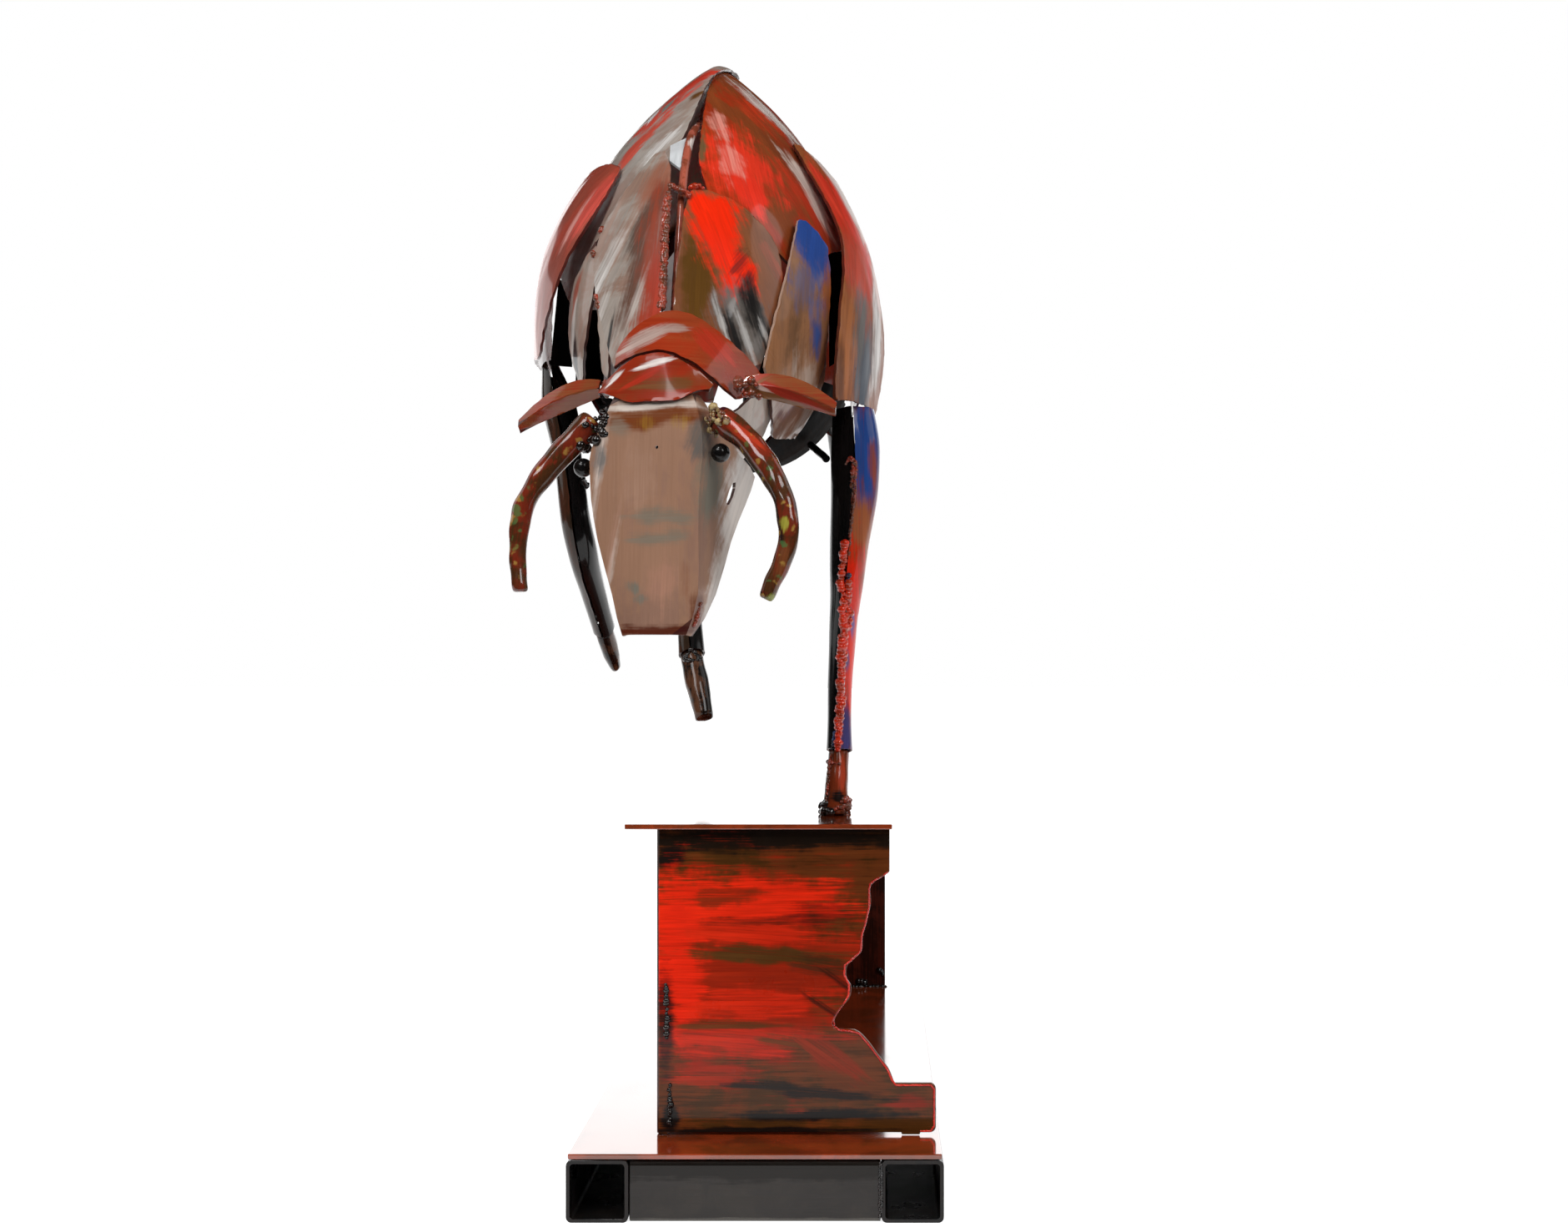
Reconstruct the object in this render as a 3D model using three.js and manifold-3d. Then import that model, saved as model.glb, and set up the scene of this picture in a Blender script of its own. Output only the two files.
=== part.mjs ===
// A welded sheet-steel bull on a box-shaped pedestal and a tube base.
// Millimetres, +Z up. The bull faces -Y, so its own left side is at +X.
import * as THREE from "three";
import { mergeVertices } from "three/addons/utils/BufferGeometryUtils.js";
import Module from "manifold-3d";

// Stock and fits
const SHEET = 0.9; // body plates
const HEAVY_SHEET = 1.7; // base and pedestal plates
const GAP = 0.3; // what the welds leave between two pieces
const LAP = 0.6; // between two plates that lap over each other
const ROD_RADIUS = 1.5;

// Base of two long square tubes, two cross tubes and a plate
const BASE_LENGTH = 330;
const BASE_WIDTH = 121.2;
const TUBE_SIZE = 20;
const TUBE_WALL = 1.2;
const TUBE_CORNER = 1.8;
const CROSS_TUBE_INSET = 0.6;
const BASE_PLATE_INSET = 0.6;

// Pedestal of three upright plates under a top plate, open on its left side
const PEDESTAL_HEIGHT = 101.8;
const PEDESTAL_FRONT = 26;
const PEDESTAL_DEPTH = 281;
const PEDESTAL_RIGHT = -33.4;
const PEDESTAL_LEFT = 43.4;
const BACK_PLATE_EXTRA = 2; // the back plate reaches this far past the front one
const FOOT_LEFT = 58.8; // the front plate's foot sticks out past the pedestal
const PEDESTAL_CLEAR = 1; // the front plate stands this far off the base plate, on two lugs
const TOP_PLATE_WIDTH = 88.4;
const TOP_PLATE_OVERHANG = 6;

// The bull's place over the base
const BULL_X = -21.5;
const BULL_TURN = -1.24;
const TOP_OF_PEDESTAL =
  TUBE_SIZE + GAP + HEAVY_SHEET + PEDESTAL_HEIGHT + GAP + HEAVY_SHEET;

// Sections of the body: the distance back, the heights of the ridge, of the widest level and of the
// belly, half the width there, and how sharply the ridge is pinched.
const BODY_SECTIONS = [
  { back: -62, ridge: 262, wide: 252, belly: 242, half: 10, pinch: 1.1 },
  { back: -40, ridge: 284, wide: 262, belly: 240, half: 19, pinch: 1.2 },
  { back: -20, ridge: 325, wide: 284, belly: 238, half: 30, pinch: 1.35 },
  { back: 20, ridge: 357, wide: 300, belly: 240, half: 43, pinch: 1.5 },
  { back: 70, ridge: 386, wide: 306, belly: 243, half: 52, pinch: 1.6 },
  { back: 121, ridge: 403, wide: 308, belly: 246, half: 54, pinch: 1.65 },
  { back: 180, ridge: 393, wide: 312, belly: 252, half: 52, pinch: 1.5 },
  { back: 240, ridge: 378, wide: 315, belly: 262, half: 50, pinch: 1.3 },
  { back: 290, ridge: 366, wide: 312, belly: 270, half: 42, pinch: 1.15 },
  { back: 322, ridge: 340, wide: 308, belly: 282, half: 20, pinch: 1.05 },
];
const BELLY_ROUND = 0.8;
const INNERMOST = -3.3; // lift of the first layer of plates from the sections
const SHOULDER_STANDOFF = 10.5; // of the bottom edge, over the foreleg
const THIGH_STANDOFF = 2.4;

// Head
const HEAD_AT = [-2, -62, 256.5];
const HEAD_TURN = -12;
const FACE_LENGTH = 68;
const FACE_LEAN = 8; // how far the muzzle lies in front of the brow
const BROW_RISE = 1; // of the face's top edge over the head's level
const HORN_ROOT_RADIUS = 4.4;
const HORN_TIP_RADIUS = 2.5;
const EYE_RADIUS = 3;

// Colours of the lacquered paint
const BRIGHT_RED = 0xd92a14;
const BRICK = 0xa5331a;
const BROWN = 0x7b4a2b;
const TAN = 0x9e7059;
const BLUE = 0x2f4f8c;
const BLACK = 0x151414;
const DARK_STEEL = 0x45403a;

const degrees = THREE.MathUtils.degToRad;

const wasm = await Module();
wasm.setup();

function paint(colour, roughness = 0.3, metalness = 0.25) {
  return new THREE.MeshStandardMaterial({ color: colour, roughness, metalness });
}

function piece(group, name, geometry, colour) {
  const mesh = new THREE.Mesh(geometry, paint(colour));
  mesh.name = name;
  group.add(mesh);
  return mesh;
}

function solid(geometry) {
  const bare = geometry.clone();
  for (const key of Object.keys(bare.attributes)) {
    if (key !== "position") bare.deleteAttribute(key);
  }
  const merged = mergeVertices(bare, 1e-4);
  return new wasm.Manifold(
    new wasm.Mesh({
      numProp: 3,
      vertProperties: new Float32Array(merged.attributes.position.array),
      triVerts: new Uint32Array(merged.index.array),
    }),
  );
}

function cut(geometry, ...cutters) {
  let body = solid(geometry);
  for (const cutter of cutters) body = body.subtract(solid(cutter));
  const mesh = body.getMesh();
  return new THREE.BufferGeometry()
    .setAttribute("position", new THREE.BufferAttribute(mesh.vertProperties, 3))
    .setIndex(new THREE.BufferAttribute(mesh.triVerts, 1));
}

// A sheet bent over a surface. place(s, t) gives the surface's point for s and t from 0 to 1, and the
// sheet's thickness grows from it to the side that faces away from core.
function bentSheet(place, thickness, across, along, core) {
  const reach = 0.01;
  const facing = (s, t) => {
    const overS = place(Math.min(s + reach, 1), t).sub(place(Math.max(s - reach, 0), t));
    const overT = place(s, Math.min(t + reach, 1)).sub(place(s, Math.max(t - reach, 0)));
    return overS.cross(overT).normalize();
  };
  const inward = facing(0.5, 0.5).dot(place(0.5, 0.5).sub(core)) < 0;
  const geometry = new THREE.BoxGeometry(1, 1, 1, across, along, 1);
  const spots = geometry.getAttribute("position");
  for (let i = 0; i < spots.count; i++) {
    const s = inward ? 0.5 - spots.getX(i) : 0.5 + spots.getX(i);
    const t = 0.5 + spots.getY(i);
    const grown = (0.5 + spots.getZ(i)) * thickness;
    const spot = place(s, t).addScaledVector(facing(s, t), inward ? -grown : grown);
    spots.setXYZ(i, spot.x, spot.y, spot.z);
  }
  return geometry;
}

// A round rod through points, whose radius goes evenly from one end's to the other's.
function rod(points, startRadius, endRadius = startRadius, sides = 8, steps = 12) {
  const path = new THREE.CatmullRomCurve3(points.map((p) => new THREE.Vector3(...p)));
  const frames = path.computeFrenetFrames(steps);
  const geometry = new THREE.CylinderGeometry(1, 1, 1, sides, steps);
  const spots = geometry.getAttribute("position");
  for (let i = 0; i < spots.count; i++) {
    const along = 0.5 - spots.getY(i);
    const step = Math.round(along * steps);
    const radius = THREE.MathUtils.lerp(startRadius, endRadius, along);
    const spot = path
      .getPointAt(along)
      .addScaledVector(frames.normals[step], spots.getX(i) * radius)
      .addScaledVector(frames.binormals[step], spots.getZ(i) * radius);
    spots.setXYZ(i, spot.x, spot.y, spot.z);
  }
  return geometry;
}

// A lump of weld metal: a ball squeezed to three half sizes.
function lump(at, halfSizes) {
  return new THREE.SphereGeometry(1, 10, 7).scale(...halfSizes).translate(...at);
}

// Body surface

function bodyValue(key, back) {
  const last = BODY_SECTIONS.length - 1;
  const value = (i) => BODY_SECTIONS[i][key];
  const place = (i) => BODY_SECTIONS[i].back;
  if (back <= place(0)) return value(0);
  if (back >= place(last)) return value(last);
  const i = BODY_SECTIONS.findLastIndex((section) => section.back <= back);
  const slope = (j) => {
    const before = Math.max(j - 1, 0);
    const after = Math.min(j + 1, last);
    return (value(after) - value(before)) / (place(after) - place(before));
  };
  const span = place(i + 1) - place(i);
  const t = (back - place(i)) / span;
  return (
    (2 * t ** 3 - 3 * t ** 2 + 1) * value(i) +
    (t ** 3 - 2 * t ** 2 + t) * span * slope(i) +
    (3 * t ** 2 - 2 * t ** 3) * value(i + 1) +
    (t ** 3 - t ** 2) * span * slope(i + 1)
  );
}

// The point of the body's section at a distance back, turned from the ridge (0) over the bull's left
// side (90) to the belly (180), or over its right side with minus signs.
function sectionSpot(back, turn) {
  const out = Math.sin(degrees(turn));
  const up = Math.cos(degrees(turn));
  const roundness = up > 0 ? bodyValue("pinch", back) : BELLY_ROUND;
  const wide = bodyValue("wide", back);
  const rise = up > 0 ? bodyValue("ridge", back) - wide : wide - bodyValue("belly", back);
  return new THREE.Vector3(
    Math.sign(out) * bodyValue("half", back) * Math.abs(out) ** roundness,
    back,
    wide + rise * up,
  );
}

function bodySpot(back, turn, lift) {
  const spot = sectionSpot(back, turn);
  const along = sectionSpot(back + 1, turn).sub(sectionSpot(back - 1, turn));
  const around = sectionSpot(back, turn + 1.5).sub(sectionSpot(back, turn - 1.5));
  return spot.addScaledVector(around.cross(along).normalize(), lift);
}

// A plate on the body between two edges. Each edge is a list of [back, turn] points, and the two lists
// run the same way. The lift may change evenly from the lists' first points to their last.
function bodyPlate(edgeA, edgeB, liftStart, liftEnd = liftStart, across = 6, along = 8, thickness = SHEET) {
  const a = new THREE.SplineCurve(edgeA.map((p) => new THREE.Vector2(...p)));
  const b = new THREE.SplineCurve(edgeB.map((p) => new THREE.Vector2(...p)));
  const place = (s, t) => {
    const spot = a.getPoint(t).lerp(b.getPoint(t), s);
    return bodySpot(spot.x, spot.y, THREE.MathUtils.lerp(liftStart, liftEnd, t));
  };
  const middle = a.getPoint(0.5).lerp(b.getPoint(0.5), 0.5);
  const core = new THREE.Vector3(0, middle.x, bodyValue("wide", middle.x));
  return bentSheet(place, thickness, across, along, core);
}

const layer = (count) => INNERMOST + count * (SHEET + LAP);
const mirrored = (edge) => edge.map(([back, turn]) => [back, -turn]);

const sculpture = new THREE.Group();

// Base

const base = new THREE.Group();
sculpture.add(base);

function roundedSquare(size, corner) {
  const h = size / 2;
  const shape = new THREE.Shape();
  shape.moveTo(-h + corner, -h);
  shape.lineTo(h - corner, -h).absarc(h - corner, -h + corner, corner, -Math.PI / 2, 0);
  shape.lineTo(h, h - corner).absarc(h - corner, h - corner, corner, 0, Math.PI / 2);
  shape.lineTo(-h + corner, h).absarc(-h + corner, h - corner, corner, Math.PI / 2, Math.PI);
  shape.lineTo(-h, -h + corner).absarc(-h + corner, -h + corner, corner, Math.PI, 1.5 * Math.PI);
  return shape;
}

function squareTube(length) {
  const section = roundedSquare(TUBE_SIZE, TUBE_CORNER);
  section.holes.push(roundedSquare(TUBE_SIZE - 2 * TUBE_WALL, TUBE_CORNER - TUBE_WALL / 2));
  return new THREE.ExtrudeGeometry(section, { depth: length, bevelEnabled: false, curveSegments: 3 });
}

for (const [name, side] of [["base_tube_left", 1], ["base_tube_right", -1]]) {
  const tube = piece(base, name, squareTube(BASE_LENGTH), BLACK);
  tube.rotation.x = -Math.PI / 2;
  tube.position.set((side * (BASE_WIDTH - TUBE_SIZE)) / 2, 0, TUBE_SIZE / 2);
}

const crossLength = BASE_WIDTH - 2 * TUBE_SIZE - 2 * GAP;
for (const [name, back] of [
  ["base_cross_front", CROSS_TUBE_INSET + TUBE_SIZE / 2],
  ["base_cross_rear", BASE_LENGTH - CROSS_TUBE_INSET - TUBE_SIZE / 2],
]) {
  const tube = piece(base, name, squareTube(crossLength), DARK_STEEL);
  tube.rotation.y = Math.PI / 2;
  tube.position.set(-crossLength / 2, back, TUBE_SIZE / 2);
}

const plateTop = TUBE_SIZE + GAP + HEAVY_SHEET;
const basePlate = new THREE.BoxGeometry(BASE_WIDTH - 2 * BASE_PLATE_INSET, BASE_LENGTH, HEAVY_SHEET);
piece(base, "base_plate", basePlate, BRICK).position.set(0, BASE_LENGTH / 2, plateTop - HEAVY_SHEET / 2);

// Pedestal

const pedestal = new THREE.Group();
pedestal.position.z = plateTop;
base.add(pedestal);

// The front plate's left edge is torch-cut in waves, from the foot up to the top corner. Each point is
// [inset from the pedestal's left side, height].
const WAVY_EDGE = [
  [-0.8, 18.6], [0.6, 21.6], [4, 26], [7.4, 30.6], [11.4, 34], [17.6, 34.4], [19, 36.6], [16.6, 41],
  [13.4, 44.6], [12.8, 48.6], [14.4, 51.6], [13.8, 56], [9.4, 60], [9, 65], [7.6, 70.4], [6.2, 76],
  [6.4, 81.6], [3.6, 84.4], [0, 86.6],
].map(([inset, height]) => new THREE.Vector2(PEDESTAL_LEFT - inset, height));
const FOOT_HEIGHT = 16.4;
const FOOT_CORNER = 2;
const LUGS = [[PEDESTAL_RIGHT, 3], [FOOT_LEFT - 11.4, 6.1]]; // where each starts and its width
const LUG_HEIGHT = PEDESTAL_CLEAR - GAP;
const frontHeight = PEDESTAL_HEIGHT - PEDESTAL_CLEAR;
const front = new THREE.Shape().moveTo(PEDESTAL_RIGHT, frontHeight);
for (const [start, width] of LUGS) {
  front.lineTo(start, 0).lineTo(start, -LUG_HEIGHT);
  front.lineTo(start + width, -LUG_HEIGHT).lineTo(start + width, 0);
}
const footEnd = FOOT_LEFT - FOOT_CORNER;
front.lineTo(footEnd, 0).absarc(footEnd, FOOT_CORNER, FOOT_CORNER, -Math.PI / 2, 0);
front.absarc(footEnd, FOOT_HEIGHT - FOOT_CORNER, FOOT_CORNER, 0, Math.PI / 2);
front.lineTo(PEDESTAL_LEFT + 1.6, FOOT_HEIGHT).splineThru(WAVY_EDGE);
front.lineTo(PEDESTAL_LEFT, frontHeight);
const frontPlate = piece(
  pedestal,
  "pedestal_front",
  new THREE.ExtrudeGeometry(front, { depth: HEAVY_SHEET, bevelEnabled: false, curveSegments: 3 }),
  BRIGHT_RED,
);
frontPlate.rotation.x = Math.PI / 2;
frontPlate.position.set(0, PEDESTAL_FRONT, PEDESTAL_CLEAR);

const uprightHeight = PEDESTAL_HEIGHT - GAP;
const sideDepth = PEDESTAL_DEPTH - GAP;
const sidePlate = new THREE.BoxGeometry(HEAVY_SHEET, sideDepth, uprightHeight);
piece(pedestal, "pedestal_side", sidePlate, BRICK).position.set(
  PEDESTAL_RIGHT - HEAVY_SHEET / 2 + 1,
  PEDESTAL_FRONT + GAP + sideDepth / 2,
  GAP + uprightHeight / 2,
);
const backWidth = PEDESTAL_LEFT + BACK_PLATE_EXTRA - PEDESTAL_RIGHT;
const backPlate = new THREE.BoxGeometry(backWidth, HEAVY_SHEET, uprightHeight);
piece(pedestal, "pedestal_back", backPlate, BROWN).position.set(
  PEDESTAL_RIGHT + backWidth / 2,
  PEDESTAL_FRONT + PEDESTAL_DEPTH + GAP + HEAVY_SHEET / 2,
  GAP + uprightHeight / 2,
);
const topDepth = PEDESTAL_DEPTH + HEAVY_SHEET + TOP_PLATE_OVERHANG;
const topPlate = new THREE.BoxGeometry(TOP_PLATE_WIDTH, topDepth, HEAVY_SHEET);
piece(pedestal, "pedestal_top", topPlate, BRICK).position.set(
  0,
  PEDESTAL_FRONT - TOP_PLATE_OVERHANG + topDepth / 2,
  PEDESTAL_HEIGHT + GAP + HEAVY_SHEET / 2,
);

// Bull

const bull = new THREE.Group();
bull.position.x = BULL_X;
bull.rotation.z = degrees(BULL_TURN);
sculpture.add(bull);

// Inner frame: a rod along the ridge and four ribs of flat bar, on which the plates are welded
const RIB_THICKNESS = 1.2;
const RIB_TOP = 12; // degrees from the ridge
const RIB_BOTTOM = 125;
const SPINE_LIFT = layer(0) - 2 * GAP - ROD_RADIUS - 1;
const SPINE_END = 306;
const SEAM_END = 12; // as far back as the rod shows in the seam between the plates
const SPINE_UNDER_NECK = -3.4; // the rod's depth below the body where the neck plates cover it
const spinePoints = [-48, -40, -30, -21].map((back) => bodySpot(back, 0, SPINE_UNDER_NECK));
for (const back of [-9, 0, SEAM_END]) spinePoints.push(bodySpot(back, 0, 0));
for (let back = 36; back < SPINE_END; back += 18) spinePoints.push(bodySpot(back, 0, SPINE_LIFT));
spinePoints.push(bodySpot(SPINE_END, 0, SPINE_LIFT));
piece(bull, "spine_rod", rod(spinePoints, ROD_RADIUS, ROD_RADIUS, 8, 44), BLACK);

const underPlate = (count) => layer(count) - 2 * GAP - RIB_THICKNESS;
for (const [name, back, width, leftPlate, rightPlate] of [
  ["rib_front", 93, 12, 1, 2],
  ["rib_rear", 222, 14, 0, 0],
]) {
  const turns = [0, 0.25, 0.5, 0.75, 1].map((share) => THREE.MathUtils.lerp(RIB_TOP, RIB_BOTTOM, share));
  const edge = (shift) => turns.map((turn) => [back + shift, turn]);
  const rib = (flip, plate) =>
    bodyPlate(
      flip(edge(-width / 2)), flip(edge(width / 2)),
      underPlate(plate), underPlate(0), 1, 20, RIB_THICKNESS,
    );
  piece(bull, name + "_left", rib((e) => e, leftPlate), BLACK);
  piece(bull, name + "_right", rib(mirrored, rightPlate), BLACK);
}

// Plates of the back, flanks and rump, which the photo's view hides
const backEdges = [
  [[104, 9], [102, 24], [104, 44], [108, 64]],
  [[252, 9], [256, 24], [258, 44], [252, 64]],
];
const flankEdges = [
  [[104, 67], [108, 84], [116, 100], [130, 116]],
  [[252, 67], [250, 84], [240, 100], [222, 116]],
];
const rumpEdges = [
  [[246, 7], [236, 28], [234, 56], [240, 84], [252, 108]],
  [[314, 13], [321, 32], [321, 60], [320, 88], [314, 112]],
];
const bellyEdges = [
  [[26, 118], [20, 136], [16, 158], [14, 180], [16, 202], [20, 224], [26, 242]],
  [[232, 121], [222, 138], [214, 158], [210, 180], [214, 202], [222, 222], [232, 239]],
];
const thighEdges = [
  [[244, 64], [226, 80], [224, 100], [238, 122]],
  [[266, 62], [288, 80], [290, 100], [272, 124]],
];
for (const [name, edges, count, colour] of [
  ["back", backEdges, 0, BRICK],
  ["flank", flankEdges, 0, BROWN],
  ["rump", rumpEdges, 1, BRICK],
]) {
  piece(bull, name + "_left", bodyPlate(...edges, layer(count)), colour);
  piece(bull, name + "_right", bodyPlate(...edges.map(mirrored), layer(count)), colour);
}
piece(bull, "belly", bodyPlate(...bellyEdges, layer(0), layer(0), 8, 10), BLACK);
piece(bull, "thigh_left", bodyPlate(...thighEdges, layer(2), THIGH_STANDOFF), BLUE);
piece(bull, "thigh_right", bodyPlate(...thighEdges.map(mirrored), layer(2), THIGH_STANDOFF), BRIGHT_RED);

// Withers: the two large plates that rise to the top of the hump. The right one laps over the ridge.
piece(
  bull,
  "withers_left",
  bodyPlate(
    [[42, 5], [20, 9], [-4, 12], [-17, 26], [-15, 44], [-10, 62], [0, 78]],
    [[148, 5], [152, 14], [154, 26], [154, 38], [150, 50], [142, 62], [130, 75]],
    layer(1), layer(1), 10, 10,
  ),
  BRICK,
);
piece(
  bull,
  "withers_right",
  bodyPlate(
    [[37, -2], [12, -8], [-6, -14], [-12, -28], [-12, -46], [-10, -64], [-8, -90]],
    [[126, 16], [140, -8], [148, -24], [150, -38], [148, -50], [142, -62], [130, -76]],
    layer(2), layer(2), 10, 10,
  ),
  BRICK,
);

// Neck plates on both sides of the seam that runs down from the hump to the poll
piece(
  bull,
  "neck_left",
  bodyPlate(
    [[-17, 12], [-23, 6], [-30, 3], [-37, 1], [-42, 0], [-47, 0]],
    [[-9, 60], [-12, 72], [-18, 80], [-25, 90], [-32, 100]],
    layer(2), layer(2), 8, 8,
  ),
  BRIGHT_RED,
);
piece(
  bull,
  "neck_right",
  bodyPlate(
    [[-3, -16], [-14, -9], [-22, -11], [-30, -12], [-37, -12], [-42, -12], [-46, -13]],
    [[-2, -21], [-8, -31], [-14, -43], [-18, -56], [-26, -64], [-37, -64], [-47, -62]],
    layer(4), layer(4), 7, 9,
  ),
  TAN,
);

// Leaf-shaped plates between the neck and the shoulders
piece(
  bull,
  "petal_blue",
  bodyPlate(
    [[9, 62], [-6, 69], [-17, 77], [-26, 86], [-29, 98], [-24, 110]],
    [[15, 64], [24, 74], [21, 84], [20, 95], [21, 107], [20, 120]],
    layer(3), layer(3), 5, 9,
  ),
  BLUE,
);
piece(
  bull,
  "petal_low",
  bodyPlate(
    [[-20, 104], [-21, 112], [-17, 122], [-8, 132], [4, 141]],
    [[22, 104], [30, 112], [34, 122], [36, 132], [34, 141]],
    layer(2), layer(2), 5, 6,
  ),
  BROWN,
);
piece(
  bull,
  "brisket",
  bodyPlate(
    [[-40, 112], [-42, 126], [-42, 142], [-38, 158]],
    [[-14, 112], [-8, 126], [-4, 142], [0, 158]],
    layer(1), layer(1), 5, 6,
  ),
  TAN,
);
piece(
  bull,
  "petal_outer_right",
  bodyPlate(
    [[-14, -58], [-12, -74], [-4, -92], [-4, -104], [-12, -117]],
    [[-22, -58], [-26, -70], [-27, -84], [-24, -100], [-14, -119]],
    layer(3), layer(3), 4, 8,
  ),
  TAN,
);
piece(
  bull,
  "petal_inner_right",
  bodyPlate(
    [[-24, -58], [-29, -68], [-34, -75], [-38, -82]],
    [[-31, -56], [-35, -64], [-40, -70], [-43, -77]],
    layer(3), layer(3), 4, 6,
  ),
  TAN,
);

// Shoulder plates, standing off the body over the forelegs
piece(
  bull,
  "shoulder_left",
  bodyPlate(
    [[64, 45], [48, 56], [44, 68], [32, 80], [18, 90], [12, 103], [10, 114], [14, 121]],
    [[74, 47], [98, 56], [112, 68], [122, 80], [127, 92], [128, 103], [126, 114], [116, 122]],
    layer(2), SHOULDER_STANDOFF, 8, 10,
  ),
  BRICK,
);
piece(
  bull,
  "shoulder_right",
  bodyPlate(
    [[12, -42], [-3, -48], [-9, -58], [-10, -69], [-11, -82], [-5, -96], [8, -108]],
    [[17, -42], [40, -50], [68, -62], [88, -74], [100, -86], [104, -98], [98, -110]],
    layer(3), SHOULDER_STANDOFF, 8, 10,
  ),
  BRIGHT_RED,
);

// Collar arch over the neck's front end, behind the poll
piece(
  bull,
  "collar",
  bodyPlate(
    [[-50, -58], [-54, -28], [-56, 4], [-57, 34], [-56, 64], [-47, 90]],
    [[-45, -52], [-42, -28], [-41, 0], [-41, 30], [-40, 60], [-34, 94]],
    layer(5), layer(5), 3, 12,
  ),
  BRICK,
);

// Head

const head = new THREE.Group();
head.position.set(...HEAD_AT);
head.rotation.z = degrees(HEAD_TURN);
bull.add(head);

// Rows of the face from the brow down: the share of its length, the front's reach to the right and
// to the left, and how far the cheeks run back.
const FACE_ROWS = [
  [0, 12.4, 10.6, 4],
  [0.09, 14.8, 12.6, 10],
  [0.22, 18.6, 13.8, 28],
  [0.3, 18.8, 13.6, 41],
  [0.43, 18, 13.2, 35],
  [0.6, 15.5, 13.5, 24],
  [0.83, 10.4, 14.2, 12],
  [1, 6.9, 11.4, 3],
];
const CHEEK_FLARE = 0.09;
const FACE_CROWN = 1.6;
const faceCurve = new THREE.CatmullRomCurve3(
  FACE_ROWS.map(([, right, left, cheek]) => new THREE.Vector3(right, left, cheek)),
);
const faceDown = new THREE.SplineCurve(FACE_ROWS.map(([down], i) => new THREE.Vector2(down, i)));
function faceSpot(s, t) {
  const reach = faceCurve.getPoint(t);
  const down = faceDown.getPoint(t).x;
  const across = 2 * s - 1;
  const half = across < 0 ? reach.x : reach.y;
  const onFront = Math.min(Math.abs(across) / 0.5, 1);
  const onCheek = Math.max((Math.abs(across) - 0.5) / 0.5, 0);
  const x = Math.sign(across) * (half * onFront + CHEEK_FLARE * reach.z * onCheek);
  const y = -FACE_LEAN * down - FACE_CROWN * (1 - onFront ** 2) + reach.z * onCheek;
  return new THREE.Vector3(x, y, BROW_RISE - (FACE_LENGTH + BROW_RISE) * down);
}
const faceCore = new THREE.Vector3(0, 20, -FACE_LENGTH / 2);
const slit = new THREE.CylinderGeometry(1, 1, 20, 8);
slit.rotateZ(Math.PI / 2).scale(1, 4.8, 1.7).rotateX(degrees(48)).translate(14, 20, -26);
const nailHole = new THREE.CylinderGeometry(0.5, 0.5, 12, 8).translate(1.4, 0, -14);
piece(head, "face", cut(bentSheet(faceSpot, SHEET, 12, 14, faceCore), slit, nailHole), TAN);

// The poll's crest: an arched plate whose foot laps over the brow and rises past its corners
const CREST_REACH = { right: 18.4, left: 15.4 };
const CREST_HEIGHT = 12.8;
const CREST_LAP = 0.9; // how far its foot reaches down in front of the face
const CREST_LEAN = 2.6;
const CREST_SWEEP = 0.5; // how far its ends run back for each millimetre past the brow's corner
const CREST_ROUND = 0.8; // below 1 keeps the arch high towards its ends
const CREST_ENDS = 0.9; // share of the half arch that the plate takes in
const CREST_FOOT_RISES = [0.5, 0.75]; // where the foot climbs from the face's front over its edge
const [, browRight, browLeft] = FACE_ROWS[0];
function crestSpot(s, t) {
  const across = 2 * s - 1;
  const out = Math.abs(across) * (across < 0 ? CREST_REACH.right : CREST_REACH.left);
  const corner = across < 0 ? browRight : browLeft;
  const crown = FACE_CROWN * (1 - Math.min(out / corner, 1) ** 2);
  const sweep = CREST_SWEEP * Math.max(out - corner, 0);
  const arch = Math.cos((Math.PI / 2) * across * CREST_ENDS) ** CREST_ROUND;
  const foot = THREE.MathUtils.lerp(
    -CREST_LAP, BROW_RISE + SHEET, THREE.MathUtils.smoothstep(Math.abs(across), ...CREST_FOOT_RISES),
  );
  const top = CREST_HEIGHT * arch + SHEET;
  return new THREE.Vector3(
    Math.sign(across) * out,
    sweep - crown - SHEET - 2 * GAP + CREST_LEAN * t,
    THREE.MathUtils.lerp(foot, Math.max(top, foot + 1), t),
  );
}
piece(head, "crest", bentSheet(crestSpot, SHEET, 8, 3, new THREE.Vector3(0, 20, 0)), BRICK);

// Horns of round bar, bent out and down. Points are [out, forward, down] from the brow's middle.
function hornPoints(side, rootOut, tipIn, tipDown) {
  return [
    [rootOut, -3, 4.6], [26, -1, 11], [35.2, 2, 22], [39.8, 4, 31], [41, 5, 40.4],
    [40.6 - tipIn / 3, 6, 49], [40 - tipIn, 7, tipDown],
  ].map(([out, forward, down]) => [side * out, -forward, -down]);
}
piece(head, "horn_left", rod(hornPoints(1, 17.2, 5.6, 58), HORN_ROOT_RADIUS, HORN_TIP_RADIUS, 10, 16), BROWN);
const rightHorn = rod(hornPoints(-1, 20.6, 0.5, 55.5), HORN_ROOT_RADIUS, HORN_TIP_RADIUS, 10, 16);
piece(head, "horn_right", rightHorn, BROWN);

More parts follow.
